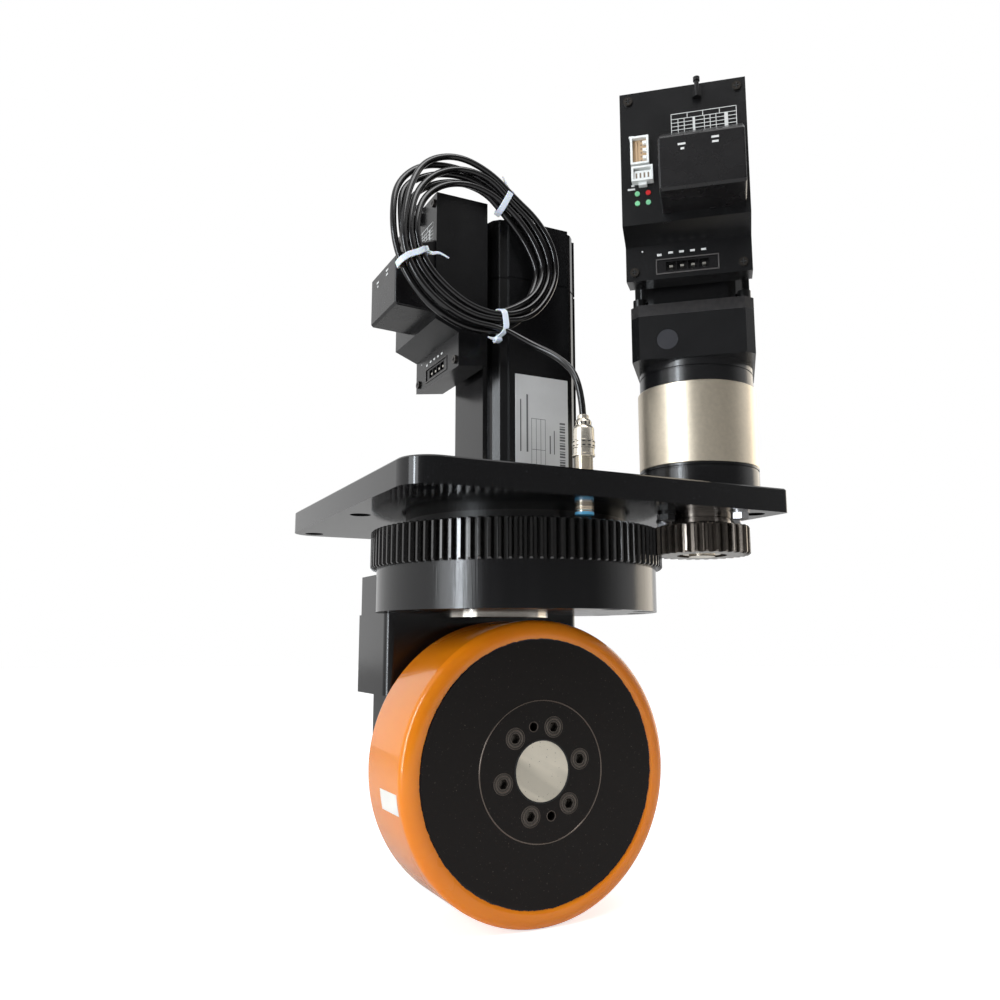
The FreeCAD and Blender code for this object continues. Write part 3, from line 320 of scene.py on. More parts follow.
def tyre_material():
    """Cast amber polyurethane, with the hub's black paint lapping unevenly over its inner rim."""
    mat = finish("polyurethane", rgb(236, 138, 18), 0.26, second=rgb(226, 122, 10), mottle=14.0,
                 spread=0.05, grain=0.04, grain_scale=500.0, specular=0.25, coat=0.6,
                 coat_roughness=0.04, subsurface=0.22)
    tree = mat.node_tree
    shader = tree.nodes["Principled BSDF"]
    coords = tree.nodes.new("ShaderNodeTexCoord")
    split = tree.nodes.new("ShaderNodeSeparateXYZ")
    tree.links.new(coords.outputs["Object"], split.inputs["Vector"])
    drop = tree.nodes.new("ShaderNodeMath")
    drop.operation = "SUBTRACT"
    drop.inputs[1].default_value = AXLE_Z * MM
    tree.links.new(split.outputs["Z"], drop.inputs[0])
    flat = tree.nodes.new("ShaderNodeCombineXYZ")
    tree.links.new(split.outputs["X"], flat.inputs["X"])
    tree.links.new(drop.outputs["Value"], flat.inputs["Y"])
    radius = tree.nodes.new("ShaderNodeVectorMath")
    radius.operation = "LENGTH"
    tree.links.new(flat.outputs["Vector"], radius.inputs[0])
    wobble = tree.nodes.new("ShaderNodeTexNoise")
    wobble.inputs["Scale"].default_value = 130.0
    wobble.inputs["Detail"].default_value = 5.0
    wobble.inputs["Roughness"].default_value = 0.7
    tree.links.new(coords.outputs["Object"], wobble.inputs["Vector"])
    edge = tree.nodes.new("ShaderNodeMath")
    edge.operation = "MULTIPLY_ADD"
    edge.inputs[1].default_value = -PAINT_WAVE * MM
    tree.links.new(wobble.outputs["Fac"], edge.inputs[0])
    tree.links.new(radius.outputs["Value"], edge.inputs[2])
    paint = tree.nodes.new("ShaderNodeMath")
    paint.operation = "LESS_THAN"
    paint.inputs[1].default_value = (HUB_R + PAINT_LAP) * MM
    tree.links.new(edge.outputs["Value"], paint.inputs[0])
    mix = tree.nodes.new("ShaderNodeMix")
    mix.data_type = "RGBA"
    mix.inputs["B"].default_value = rgb(34, 28, 26)
    old = shader.inputs["Base Color"].links[0].from_socket
    tree.links.new(old, mix.inputs["A"])
    tree.links.new(paint.outputs["Value"], mix.inputs["Factor"])
    tree.links.new(mix.outputs["Result"], shader.inputs["Base Color"])
    return mat


M["tyre"] = tyre_material()


def shaft_material():
    """A sawn shaft end: slanting light and dark bands painted as reflection streaks, and specks of dirt."""
    mat = finish("shaft_steel_painted_streaks", rgb(200, 193, 178), 0.3, metallic=0.7, grain=0.2, specks=rgb(70, 64, 58))
    tree = mat.node_tree
    shader = tree.nodes["Principled BSDF"]
    coords = tree.nodes.new("ShaderNodeTexCoord")
    mapping = tree.nodes.new("ShaderNodeMapping")
    mapping.vector_type = "TEXTURE"
    mapping.inputs["Rotation"].default_value = (0, math.radians(BAND_SLANT), 0)
    mapping.inputs["Scale"].default_value = (BAND_STRETCH, 1.0, 1.0)
    bands = tree.nodes.new("ShaderNodeTexNoise")
    bands.inputs["Scale"].default_value = 90.0
    bands.inputs["Detail"].default_value = 1.5
    tree.links.new(coords.outputs["Object"], mapping.inputs["Vector"])
    tree.links.new(mapping.outputs["Vector"], bands.inputs["Vector"])
    level = tree.nodes.new("ShaderNodeMapRange")
    level.inputs["From Min"].default_value = 0.42
    level.inputs["From Max"].default_value = 0.6
    tree.links.new(bands.outputs["Fac"], level.inputs["Value"])
    mix = tree.nodes.new("ShaderNodeMix")
    mix.data_type = "RGBA"
    mix.blend_type = "MULTIPLY"
    mix.inputs["Factor"].default_value = 1.0
    old = shader.inputs["Base Color"].links[0].from_socket
    tree.links.new(old, mix.inputs["A"])
    # The bands darken and lighten the colour: painted reflection streaks.
    tone = tree.nodes.new("ShaderNodeMix")
    tone.data_type = "RGBA"
    for socket, value in zip("AB", BAND_TONES):
        tone.inputs[socket].default_value = (value, value, value, 1)
    tree.links.new(level.outputs["Result"], tone.inputs["Factor"])
    tree.links.new(tone.outputs["Result"], mix.inputs["B"])
    tree.links.new(mix.outputs["Result"], shader.inputs["Base Color"])
    return mat


M["shaft"] = shaft_material()


# Shapes


def add(name, mesh, mat, body, smooth=35.0):
    """A finished mesh as a piece that rides on a body."""
    mesh.materials.append(mat)
    for polygon in mesh.polygons:
        polygon.use_smooth = True
    mesh.set_sharp_from_angle(angle=math.radians(smooth))
    obj = bpy.data.objects.new(name, mesh)
    bpy.context.collection.objects.link(obj)
    if body:
        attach(obj, body)
    return obj


def mesh_from(name, bm, matrix=None):
    """A mesh in metres from one built in millimetres."""
    bmesh.ops.recalc_face_normals(bm, faces=bm.faces)
    bm.transform(Matrix.Scale(MM, 4) @ (matrix or Matrix.Identity(4)))
    mesh = bpy.data.meshes.new(name)
    bm.to_mesh(mesh)
    bm.free()
    return mesh


def soften(obj, width=0.4, segments=2, angle=28.0):
    """Small bevels on the sharp edges, so that they catch the light."""
    bevel = obj.modifiers.new("edge", "BEVEL")
    bevel.width = width * MM
    bevel.segments = segments
    bevel.limit_method = "ANGLE"
    bevel.angle_limit = math.radians(angle)
    return obj


def lathe(name, profile, mat, body, at=(0, 0), axis="Z", steps=160):
    """A turned piece: (radius, place along the axis) points swept round the axis."""
    bm = bmesh.new()
    swept = []
    for i in range(steps):
        a = 2 * math.pi * i / steps
        ring = []
        for r, h in profile:
            x, y = r * math.cos(a), r * math.sin(a)
            ring.append(bm.verts.new((x, y, h) if axis == "Z" else (x, h, y)))
        swept.append(ring)
    count = len(profile)
    for i in range(steps):
        a, b = swept[i], swept[(i + 1) % steps]
        for j in range(count):
            k = (j + 1) % count
            bm.faces.new((a[j], b[j], b[k], a[k]))
    bmesh.ops.remove_doubles(bm, verts=bm.verts, dist=1e-5)
    place = (at[0], at[1], 0) if axis == "Z" else (at[0], 0, at[1])
    return add(name, mesh_from(name, bm, Matrix.Translation(place)), mat, body)


def arc(centre, radius, start, end, count=8):
    """Points of a round corner in a profile."""
    points = []
    for i in range(count + 1):
        a = math.radians(start + (end - start) * i / count)
        points.append((centre[0] + radius * math.cos(a), centre[1] + radius * math.sin(a)))
    return points


def boxes(name, sizes, mat, body, matrix=None, bevel=0.15):
    """Several small boxes in one piece, each as low and high corners."""
    bm = bmesh.new()
    for low, high in sizes:
        made = bmesh.ops.create_cube(bm, size=1.0)["verts"]
        for v in made:
            for k in range(3):
                v.co[k] = low[k] + (v.co[k] + 0.5) * (high[k] - low[k])
    obj = add(name, mesh_from(name, bm, matrix), mat, body)
    if bevel:
        soften(obj, bevel)
    return obj


def rings(name, sizes, mat, body):
    """Fine round rims on faces across Y: each as its x, z, radius, y and thickness."""
    bm = bmesh.new()
    for x, z, radius, y, tube in sizes:
        loops = []
        for i in range(RIM_STEPS):
            a = 2 * math.pi * i / RIM_STEPS
            loop = []
            for k in range(RIM_SIDES):
                b = 2 * math.pi * k / RIM_SIDES
                r = radius + tube * math.cos(b)
                loop.append(bm.verts.new((x + r * math.cos(a), y + tube * math.sin(b), z + r * math.sin(a))))
            loops.append(loop)
        for i in range(RIM_STEPS):
            a, b = loops[i], loops[(i + 1) % RIM_STEPS]
            for k in range(RIM_SIDES):
                j = (k + 1) % RIM_SIDES
                bm.faces.new((a[k], b[k], b[j], a[j]))
    return add(name, mesh_from(name, bm), mat, body)


def dress(names, mat, bevel=0.0, smooth=30.0):
    """A carried-over solid gets its finish, smooth round faces and small bevels."""
    for name in names.split():
        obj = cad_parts[name]
        obj.data.materials.clear()
        obj.data.materials.append(mat)
        for polygon in obj.data.polygons:
            polygon.use_smooth = True
        obj.data.set_sharp_from_angle(angle=math.radians(smooth))
        if bevel:
            soften(obj, bevel)


# Camera and light


def make_camera():
    """The camera at the photograph's viewing angle."""
    data = bpy.data.cameras.new("camera")
    data.sensor_width = 36.0
    data.lens = CAMERA_LENS
    data.clip_start = 0.01
    cam = bpy.data.objects.new("camera", data)
    cam.location = [c * MM for c in CAMERA_AT]
    cam.rotation_euler = (math.radians(90 + CAMERA_PITCH), 0, -math.radians(CAMERA_YAW))
    bpy.context.collection.objects.link(cam)
    bpy.context.scene.camera = cam


def area_light(name, at, to, size, power, colour):
    """A soft rectangular lamp aimed at a point, in metres."""
    data = bpy.data.lights.new(name, "AREA")
    data.shape = "RECTANGLE"
    data.size, data.size_y = size
    data.energy = power
    data.color = colour
    lamp = bpy.data.objects.new(name, data)
    lamp.location = at
    lamp.rotation_euler = (Vector(to) - Vector(at)).to_track_quat("-Z", "Y").to_euler()
    bpy.context.collection.objects.link(lamp)


def white_when_seen(tree, shade, sight):
    """A shader for the bounces of the light, and another for what the camera or a glass sees."""
    path = tree.nodes.new("ShaderNodeLightPath")
    seen = tree.nodes.new("ShaderNodeMath")
    seen.operation = "MAXIMUM"
    tree.links.new(path.outputs["Is Camera Ray"], seen.inputs[0])
    tree.links.new(path.outputs["Is Transmission Ray"], seen.inputs[1])
    mix = tree.nodes.new("ShaderNodeMixShader")
    tree.links.new(seen.outputs["Value"], mix.inputs["Fac"])
    tree.links.new(shade.outputs[0], mix.inputs[1])
    tree.links.new(sight.outputs[0], mix.inputs[2])
    return mix


def make_sky():
    """A white room: metal shows it white, but darker on the side where the front wall is."""
    world = bpy.data.worlds.new("studio")
    bpy.context.scene.world = world
    world.use_nodes = True
    tree = world.node_tree
    tree.nodes.clear()
    out = tree.nodes.new("ShaderNodeOutputWorld")
    coords = tree.nodes.new("ShaderNodeTexCoord")
    facing = tree.nodes.new("ShaderNodeVectorMath")
    facing.operation = "DOT_PRODUCT"
    a = math.radians(DARK_WALL)
    facing.inputs[1].default_value = (math.cos(a), math.sin(a), -0.1)
    tree.links.new(coords.outputs["Generated"], facing.inputs[0])
    level = tree.nodes.new("ShaderNodeMapRange")
    level.interpolation_type = "SMOOTHSTEP"
    for socket, value in zip(("From Min", "From Max", "To Min", "To Max"), WALL_FADE):
        level.inputs[socket].default_value = value
    tree.links.new(facing.outputs["Value"], level.inputs["Value"])
    path = tree.nodes.new("ShaderNodeLightPath")
    share = tree.nodes.new("ShaderNodeMapRange")
    share.inputs["To Min"].default_value = SKY_FILL
    share.inputs["To Max"].default_value = SKY_GLOSS
    tree.links.new(path.outputs["Is Glossy Ray"], share.inputs["Value"])
    strength = tree.nodes.new("ShaderNodeMath")
    strength.operation = "MULTIPLY"
    tree.links.new(level.outputs["Result"], strength.inputs[0])
    tree.links.new(share.outputs["Result"], strength.inputs[1])
    soft = tree.nodes.new("ShaderNodeBackground")
    soft.inputs["Color"].default_value = (1, 1, 1, 1)
    tree.links.new(strength.outputs["Value"], soft.inputs["Strength"])
    white = tree.nodes.new("ShaderNodeBackground")
    white.inputs["Color"].default_value = (1, 1, 1, 1)
    mix = white_when_seen(tree, soft, white)
    tree.links.new(mix.outputs[0], out.inputs["Surface"])


def make_stage():
    """A pale floor under the tyre and the studio's lamps, the brightest a window on the left."""
    bm = bmesh.new()
    bmesh.ops.create_circle(bm, cap_ends=True, segments=64, radius=6000.0)
    floor_z = AXLE_Z - TYRE_R - 0.3
    mesh = mesh_from("floor", bm, Matrix.Translation((0, 0, floor_z)))
    mat = bpy.data.materials.new("pale_floor")
    mat.use_nodes = True
    tree = mat.node_tree
    shader = tree.nodes["Principled BSDF"]
    shader.inputs["Roughness"].default_value = 0.9
    shader.inputs["Specular IOR Level"].default_value = 0.1
    shader.inputs["Base Color"].default_value = (0.8, 0.8, 0.8, 1)
    lit = tree.nodes.new("ShaderNodeEmission")
    lit.inputs["Color"].default_value = (1, 1, 1, 1)
    lit.inputs["Strength"].default_value = 0.7
    both = tree.nodes.new("ShaderNodeAddShader")
    tree.links.new(shader.outputs[0], both.inputs[0])
    tree.links.new(lit.outputs[0], both.inputs[1])
    glow = tree.nodes.new("ShaderNodeEmission")
    glow.inputs["Color"].default_value = (1, 1, 1, 1)
    glow.inputs["Strength"].default_value = FLOOR_GLOW
    dim = tree.nodes.new("ShaderNodeAddShader")
    tree.links.new(shader.outputs[0], dim.inputs[0])
    tree.links.new(glow.outputs[0], dim.inputs[1])
    mix = white_when_seen(tree, dim, both)
    tree.links.new(mix.outputs[0], tree.nodes["Material Output"].inputs["Surface"])
    add("floor", mesh, mat, None)
    for name, at, size, power, colour in LAMPS:
        area_light(name, at, (0, 0, 0.02), size, power, colour)


bpy.context.scene.view_settings.view_transform = "Standard"
make_camera()


# The sensor cable


def coil_frame():
    """The coil's middle, and its across, up and outward directions."""
    low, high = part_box("cable_coil")
    outward = Vector((0, -1, COIL_LEAN)).normalized()
    across = Vector((1, 0, 0))
    return (low + high) / 2 / MM, across, outward.cross(across), outward


def coil_point(degrees, radius, out):
    """A place on the coil at a distance from its middle, and so far in front of it."""
    middle, across, up, outward = coil_frame()
    a = math.radians(degrees)
    return middle + (across * math.cos(a) + up * math.sin(a)) * radius + outward * out


def cable_route():
    """Control points from the plug's end: the lead, then the turns of the coil."""
    points = [Vector(p) for p in LEAD]
    for layer, radii in TURNS:
        for k, radius in enumerate(radii):
            degrees = COIL_START - 360.0 * k / COIL_STATIONS
            points.append(coil_point(degrees, radius * ROUND_UP, layer * STRAND_OUT))
    return points


def spline_curve(name, points, radius):
    """An open NURBS curve in metres through control points in millimetres."""
    curve = bpy.data.curves.new(name, "CURVE")
    curve.dimensions = "3D"
    curve.bevel_depth = radius * MM
    curve.bevel_resolution = 6
    curve.resolution_u = 8
    curve.use_fill_caps = True
    spline = curve.splines.new("NURBS")
    spline.points.add(len(points) - 1)
    for point, place in zip(spline.points, points):
        point.co = (*(place * MM), 1.0)
    spline.order_u = 3
    spline.use_endpoint_u = True
    obj = bpy.data.objects.new(name, curve)
    bpy.context.collection.objects.link(obj)
    return obj


def make_cable():
    """The cable as a smooth tube, whose lead runs from the plug on the plate up to the coil on the turret."""
    points = cable_route()
    line = spline_curve("cable_line", points, 0.0)
    bpy.context.view_layer.update()
    path = [v.co.copy() for v in bpy.data.meshes.new_from_object(line).vertices]
    bpy.data.objects.remove(line)
    tube = spline_curve("cable_tube", points, CORD_R)
    bpy.context.view_layer.update()
    mesh = bpy.data.meshes.new_from_object(tube)
    bpy.data.objects.remove(tube)
    cable = add("sensor_cable", mesh, M["cable"], None)
    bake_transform(cable)
    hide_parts("sensor_cable_lead", "cable_coil")


def strip(name, line, normals, widths, width, thick, mat, body, taper=1.0):
    """A flat band along a line, from its normals and the directions of its breadth."""
    bm = bmesh.new()
    rows = []
    for i, (p, n, across) in enumerate(zip(line, normals, widths)):
        share = 1.0 - (1.0 - taper) * i / (len(line) - 1)
        row = []
        for w, t in ((-1, 0), (1, 0), (1, 1), (-1, 1)):
            row.append(bm.verts.new(p + across * (w * width * share / 2) + n * (t * thick)))
        rows.append(row)
    for a, b in zip(rows, rows[1:]):
        for k in range(4):
            bm.faces.new((a[k], a[(k + 1) % 4], b[(k + 1) % 4], b[k]))
    bm.faces.new(rows[0])
    bm.faces.new(reversed(rows[-1]))
    return soften(add(name, mesh_from(name, bm), mat, body), 0.2)


def make_ties():
    """Three white cable ties: a band round the flat bundle, a head and a bent tail."""
    middle, across, up, outward = coil_frame()
    for name, (degrees, radius, half, head_at, lean, tilt, tail) in TIES.items():
        a = math.radians(degrees)
        radial = across * math.cos(a) + up * math.sin(a)
        along = up * math.cos(a) - across * math.sin(a)
        centre = middle + radial * radius

        def on_band(turn):
            """A place on the band, and the way it faces there."""
            c, d = math.cos(math.radians(turn)), math.sin(math.radians(turn))
            place = radial * math.copysign(abs(c) ** 0.6, c) * half
            place += outward * math.copysign(abs(d) ** 0.6, d) * TIE_OUT
            faces = radial * (c / half) + outward * (d / TIE_OUT)
            return centre + place + along * (lean * abs(d) + tilt * c), faces.normalized()

        line, normals = zip(*(on_band(head_at + 360.0 * i / 48) for i in range(49)))
        band = strip("tie_band_" + name, line, normals, [along] * len(line), *TIE_BAND, M["tie"], "turret")
        seat, n = on_band(head_at)
        t = along.cross(n)
        turn = Matrix((t, along, n)).transposed().to_4x4()
        turn.translation = seat + n * 0.4
        boxes("tie_head_" + name, [((-2.3, -2.5, 0), (2.3, 2.5, 3.2)), ((-2.8, -1.9, 0.7), (2.8, 1.9, 2.6))],
              M["tie"], "turret", turn, 0.4)
        route = [seat + n * 1.6] + [seat + n * 1.6 + radial * p + outward * q + along * w
                                    for p, q, w in tail]
        guide = spline_curve("tie_line", route, 0.0)
        bpy.context.view_layer.update()
        line = [v.co / MM for v in bpy.data.meshes.new_from_object(guide).vertices]
        bpy.data.objects.remove(guide)
        normals = []
        for k in range(len(line)):
            run = (line[min(k + 1, len(line) - 1)] - line[max(k - 1, 0)]).normalized()
            normals.append(run.cross(outward).normalized())
        strip("tie_tail_" + name, line, [outward] * len(line), normals, *TIE_TAIL, M["tie"], "turret",
              TIE_TAPER)
    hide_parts("cable_ties")


make_cable()
make_ties()


# Wheel


def hub_rim(turn, face, rim):
    """One rim on the hub's screw circle, a painted highlight, as the rings take it."""
    a = math.radians(turn)
    radius, depth, tube = rim
    x, z = HUB_SCREW_CIRCLE * math.cos(a), AXLE_Z + HUB_SCREW_CIRCLE * math.sin(a)
    return (x, z, radius, face + depth, tube)


def make_wheel():
    """Cast tyre with rounded shoulders, the rims on the hub's face (pale ones and the groove ring as painted
    highlights, a dark one round the shaft as painted shade) and a blank sticker on the tread.
    """
    r, front, rear, s = TYRE_R, WHEEL_FRONT, TYRE_REAR, TYRE_SHOULDER
    profile = [(HUB_R, front + 0.8), (HUB_R, rear)]
    profile += arc((r - s, rear - s), s, 90, 0, 12)
    profile += arc((r - SHOULDER_R, front + SHOULDER_AT), SHOULDER_R, 0, SHOULDER_TURN, 10)
    profile += arc((r - SIDE_IN, front + SIDE_R), SIDE_R, SHOULDER_TURN, -90, 10)
    profile += [(HUB_R + 3.2, front), (HUB_R + 2.0, front + 0.25), (HUB_R + 0.6, front + 0.8)]
    tyre = lathe("tyre_cast", profile, M["tyre"], "wheel", at=(0, AXLE_Z), axis="Y", steps=240)
    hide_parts("tyre")
    g, face = GROOVE_R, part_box("hub_flange")[0].y / MM
    # A pale metal ring in the flange's groove: a painted highlight along the groove's edges.
    ring = [(g - 0.5, face + 0.6), (g - 0.5, face - 0.05), (g - 0.3, face - 0.25), (g + 0.3, face - 0.25),
            (g + 0.5, face - 0.05), (g + 0.5, face + 0.6)]
    piece = lathe("hub_ring", ring, M["groove"], "wheel", at=(0, AXLE_Z), axis="Y", steps=200)
    rims = []
    for i in range(HUB_SCREWS):
        for rim in SCREW_RIMS:
            rims.append(hub_rim(HUB_SCREW_TURN + 360.0 / HUB_SCREWS * i, face, rim))
    for quarter in (90, -90):
        rims.append(hub_rim(HUB_SCREW_TURN + quarter, face, JACK_RIM))
    # Pale metal rims round the screws and holes: real edges, with their light colour a painted highlight.
    piece = rings("hub_rims", rims, M["rim_painted_highlight"], "wheel")
    # A dark ring round the shaft: painted shade in its gap to the hub.
    radius, depth, tube = SHAFT_RIM
    piece = rings("shaft_gap", [(0.0, AXLE_Z, radius, face + depth, tube)], M["dark"], "wheel")
    turn, breadth = STICKER_TURN, STICKER_Y
    bm = bmesh.new()
    rows = []
    for i in range(9):
        a = math.radians(turn[0] + (turn[1] - turn[0]) * i / 8)
        row = []
        for lift in (-0.1, 0.12):
            for y in breadth:
                row.append(bm.verts.new(((r + lift) * math.cos(a), y, AXLE_Z + (r + lift) * math.sin(a))))
        rows.append(row)
    order = (0, 1, 3, 2)
    for low, high in zip(rows, rows[1:]):
        for k in range(4):
            i, j = order[k], order[(k + 1) % 4]
            bm.faces.new((low[i], low[j], high[j], high[i]))
    bm.faces.new([rows[0][k] for k in order])
    bm.faces.new([rows[-1][k] for k in reversed(order)])
    sticker = add("blank_sticker", mesh_from("blank_sticker", bm), M["paper"], "wheel")


make_wheel()


# Stack of the steering gearbox


def make_stack():
    """Turned rings between the plate and the motor adapter."""
    x, y = PINION_AT
    r = STACK_R
    base = [(r - 6, PLATE_T), (r, PLATE_T), (r, BASE_TOP - 3.0), (r - 0.7, BASE_TOP - 2.6),
            (r - 0.7, BASE_TOP - 1.8), (r, BASE_TOP - 1.4), (r, BASE_TOP), (r - 6, BASE_TOP)]
    piece = lathe("base_turned", base, M["turret"], "mount", at=(x, y))
    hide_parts("steer_gearbox_base")
    b, low = BOSS_R, BOSS_BOTTOM
    boss = [(b - 9, low), (b - 0.6, low), (b, low + 0.6), (b, low + 2.6), (b - 0.8, low + 2.9),
            (b - 0.8, low + 3.7), (b, low + 4.0), (b, PLATE_T), (b - 9, PLATE_T)]
    piece = lathe("boss_turned", boss, M["pinion"], "mount", at=(x, y))
    ring = [(r - 8, BASE_TOP), (r - 0.6, BASE_TOP), (r, BASE_TOP + 0.6), (r, RING_TOP - 0.6),
            (r - 0.6, RING_TOP), (r - 8, RING_TOP)]
    piece = lathe("ring_turned", ring, M["silver"], "mount", at=(x, y))
    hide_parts("steer_ring_gear")
    c = COLLAR_R
    collar = [(c - 8, RING_TOP), (c, RING_TOP), (c, COLLAR_TOP - 6.2), (c - 0.6, COLLAR_TOP - 5.8),
              (c - 0.6, COLLAR_TOP - 5.2), (c, COLLAR_TOP - 4.8), (c, COLLAR_TOP), (c - 8, COLLAR_TOP)]
    piece = lathe("collar_turned", collar, M["block"], "mount", at=(x, y))
    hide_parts("steer_input_collar")


make_stack()


# Home sensor


def make_sensor():
    """Threaded barrel, and the knurled coupling of the plug with its ridged sleeve, their slots as dark marks
    of painted shade.
    """
    x, y = SENSOR_AT
    low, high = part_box("home_sensor")
    top, bottom, r = high.z / MM, low.z / MM, (high.x - low.x) / 2 / MM
    profile = [(r - 2, bottom), (r - 0.5, bottom)]
    z = bottom + 1.0
    while z < top - 1.5:
        profile += [(r - 0.5, z), (r, z + 0.4), (r, z + 0.6), (r - 0.5, z + 1.0)]
        z += 1.0
    profile += [(r - 0.5, top), (r - 2, top)]
    barrel = lathe("barrel_threaded", profile, M["nickel"], "mount", at=(x, y), steps=64)
    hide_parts("home_sensor")

    low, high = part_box("sensor_plug")
    r = (high.x - low.x) / 2 / MM
    base = low.z / MM
    sleeve = [(r - 3, base), (r, base), (r, base + 1.2), (r - 0.35, base + 1.6), (r - 0.35, base + 4.8),
              (r, base + 5.2), (r, base + 9.9), (r - 0.3, base + 10.3), (r - 0.3, PLUG_TOP - 2.6),
              (r - 0.8, PLUG_TOP - 1.2), (r - 2.0, PLUG_TOP), (5.2, PLUG_TOP), (5.2, PLUG_TOP + 2.6),
              (4.3, PLUG_TOP + 4.0), (3.6, PLUG_TOP + 4.4), (3.6, RELIEF_TOP - 0.5), (3.1, RELIEF_TOP),
              (CORD_R, RELIEF_TOP), (CORD_R, base)]
    plug = lathe("plug_turned", sleeve, M["nickel"], "mount", at=(x, y), steps=72)
    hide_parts("sensor_plug")
    # The knurl's slots and the sleeve's ridges are thin dark boxes on the surface: painted shade in the
    # slots.
    slots = []
    for row in (base + 6.0, base + 8.6):
        for i in range(PLUG_SLOTS):
            slots.append((i * 360.0 / PLUG_SLOTS, row, r, 1.9, 0.8))
    for i in range(PLUG_SLOTS):
        slots.append(((i + 0.5) * 360.0 / PLUG_SLOTS, PLUG_TOP + 0.2, 5.2, 1.0, 1.9))
    bm = bmesh.new()
    for degrees, z, radius, wide, tall in slots:
        made = bmesh.ops.create_cube(bm, size=1.0)["verts"]
        place = Matrix.Rotation(math.radians(degrees), 4, "Z") @ Matrix.Translation((radius, 0, z + tall / 2))
        bmesh.ops.transform(bm, matrix=place @ Matrix.Diagonal((0.16, wide, tall, 1)), verts=made)
    marks = add("plug_knurl", mesh_from("plug_knurl", bm, Matrix.Translation((x, y, 0))), M["dark"], "mount")


make_sensor()


# Prints, headers, lamps and label


def panel_print():
    """Low and high corners of the printed lines: a ruled table, and dashes beside the parts."""
    o, lift, w = PANEL_OUT, PRINT_LIFT, 0.4
    left, right, low, high = TABLE
    rows = [high, high - 3.6]
    step = (rows[1] - low) / 4
    rows += [rows[1] - step * (k + 1) for k in range(4)]
    sizes = [((o, left, z - w / 2), (o + lift, right, z + w / 2)) for z in rows]
    for share in (0.0, 0.25, 0.49, 0.745, 1.0):
        t = left + (right - left) * share
        sizes.append(((o, t - w / 2, rows[1]), (o + lift, t + w / 2, high)))
    for share, wide in ((0.0, w), (0.105, w), (0.2, w), (0.35, 1.5), (0.51, w), (0.6, w), (0.69, w),
                        (0.845, 2.2), (1.0, w)):
        t = left + (right - left) * share
        sizes.append(((o, t - wide / 2, low), (o + lift, t + wide / 2, rows[1])))
    for t, z, wide in ((-35.5, 54.2, 4.6), (-33.2, 56.6, 2.0), (-33.4, 89.6, 1.6)):
        sizes.append(((o, t, z), (o + lift, t + wide, z + 1.2)))
    c = COVER_OUT
    for t, z, wide in ((-2.2, 64.6, 4.6), (-0.6, 61.6, 2.2), (17.6, 66.4, 4.4), (17.9, 63.4, 3.8)):
        sizes.append(((c, t, z), (c + lift, t + wide, z + 1.3)))
    f = LOWER_OUT
    for k in range(4):
        t = PIN_FIRST + PIN_PITCH * k
        sizes.append(((f, t - 1.5, 16.6), (f + lift, t + 1.5, 18.0)))
    sizes.append(((f, -19.5, 15.6), (f + lift, -16.6, 17.2)))
    sizes.append(((f, -29.3, 19.3), (f + lift, -28.3, 20.3)))
    return sizes


def header_parts(matrix, prefix, body):
    """What fills the two headers: a tan insert with ribs, a pale insert with slots and a tab."""
    left, low, right, high = UPPER_HEADER
    o = PANEL_OUT
    inserts = [((o + 1.6, left + 1.4, low + 1.4), (o + 2.6, right - 1.4, high - 1.4)),
               ((o + 2.6, left + 3.0, low + 2.4), (o + 3.2, left + 4.4, high - 2.4))]
    tan = boxes(prefix + "_header_insert", inserts, M["tan"], body, matrix)
    ribs = []
    for k in range(3):
        z = low + 3.4 + 5.0 * k
        ribs.append(((o + 2.6, right - 3.8, z), (o + 5.2, right - 1.4, z + 2.0)))
    ribs.append(((o, left - 0.8, high - 0.4), (o + 4.4, left + 2.2, high + 1.0)))
    left, low, right, high = LOWER_HEADER
    ribs.append(((o, left + 4.2, low - 2.2), (o + 3.6, left + 9.4, low)))
    ribs.append(((o + 1.6, left + 1.4, low + 1.4), (o + 4.3, right - 1.4, high - 2.8)))
    piece = boxes(prefix + "_header_ribs", ribs, M["white"], body, matrix)
    # The slots are thin darker boxes: painted shade in the slots.
    slots = []
    for k in range(4):
        t = left + 2.6 + 2.5 * k
        slots.append(((o + 4.2, t, low + 2.2), (o + 4.4, t + 1.0, high - 4.4)))
    left, low, right, high = UPPER_HEADER
    for k in range(6):
        slots.append(((o + 2.5, left + 6.2, low + 3.0 + 2.6 * k), (o + 2.7, left + 7.2, low + 4.0 + 2.6 * k)))
    piece = boxes(prefix + "_header_slots", slots, M["shade"], body, matrix, 0.0)


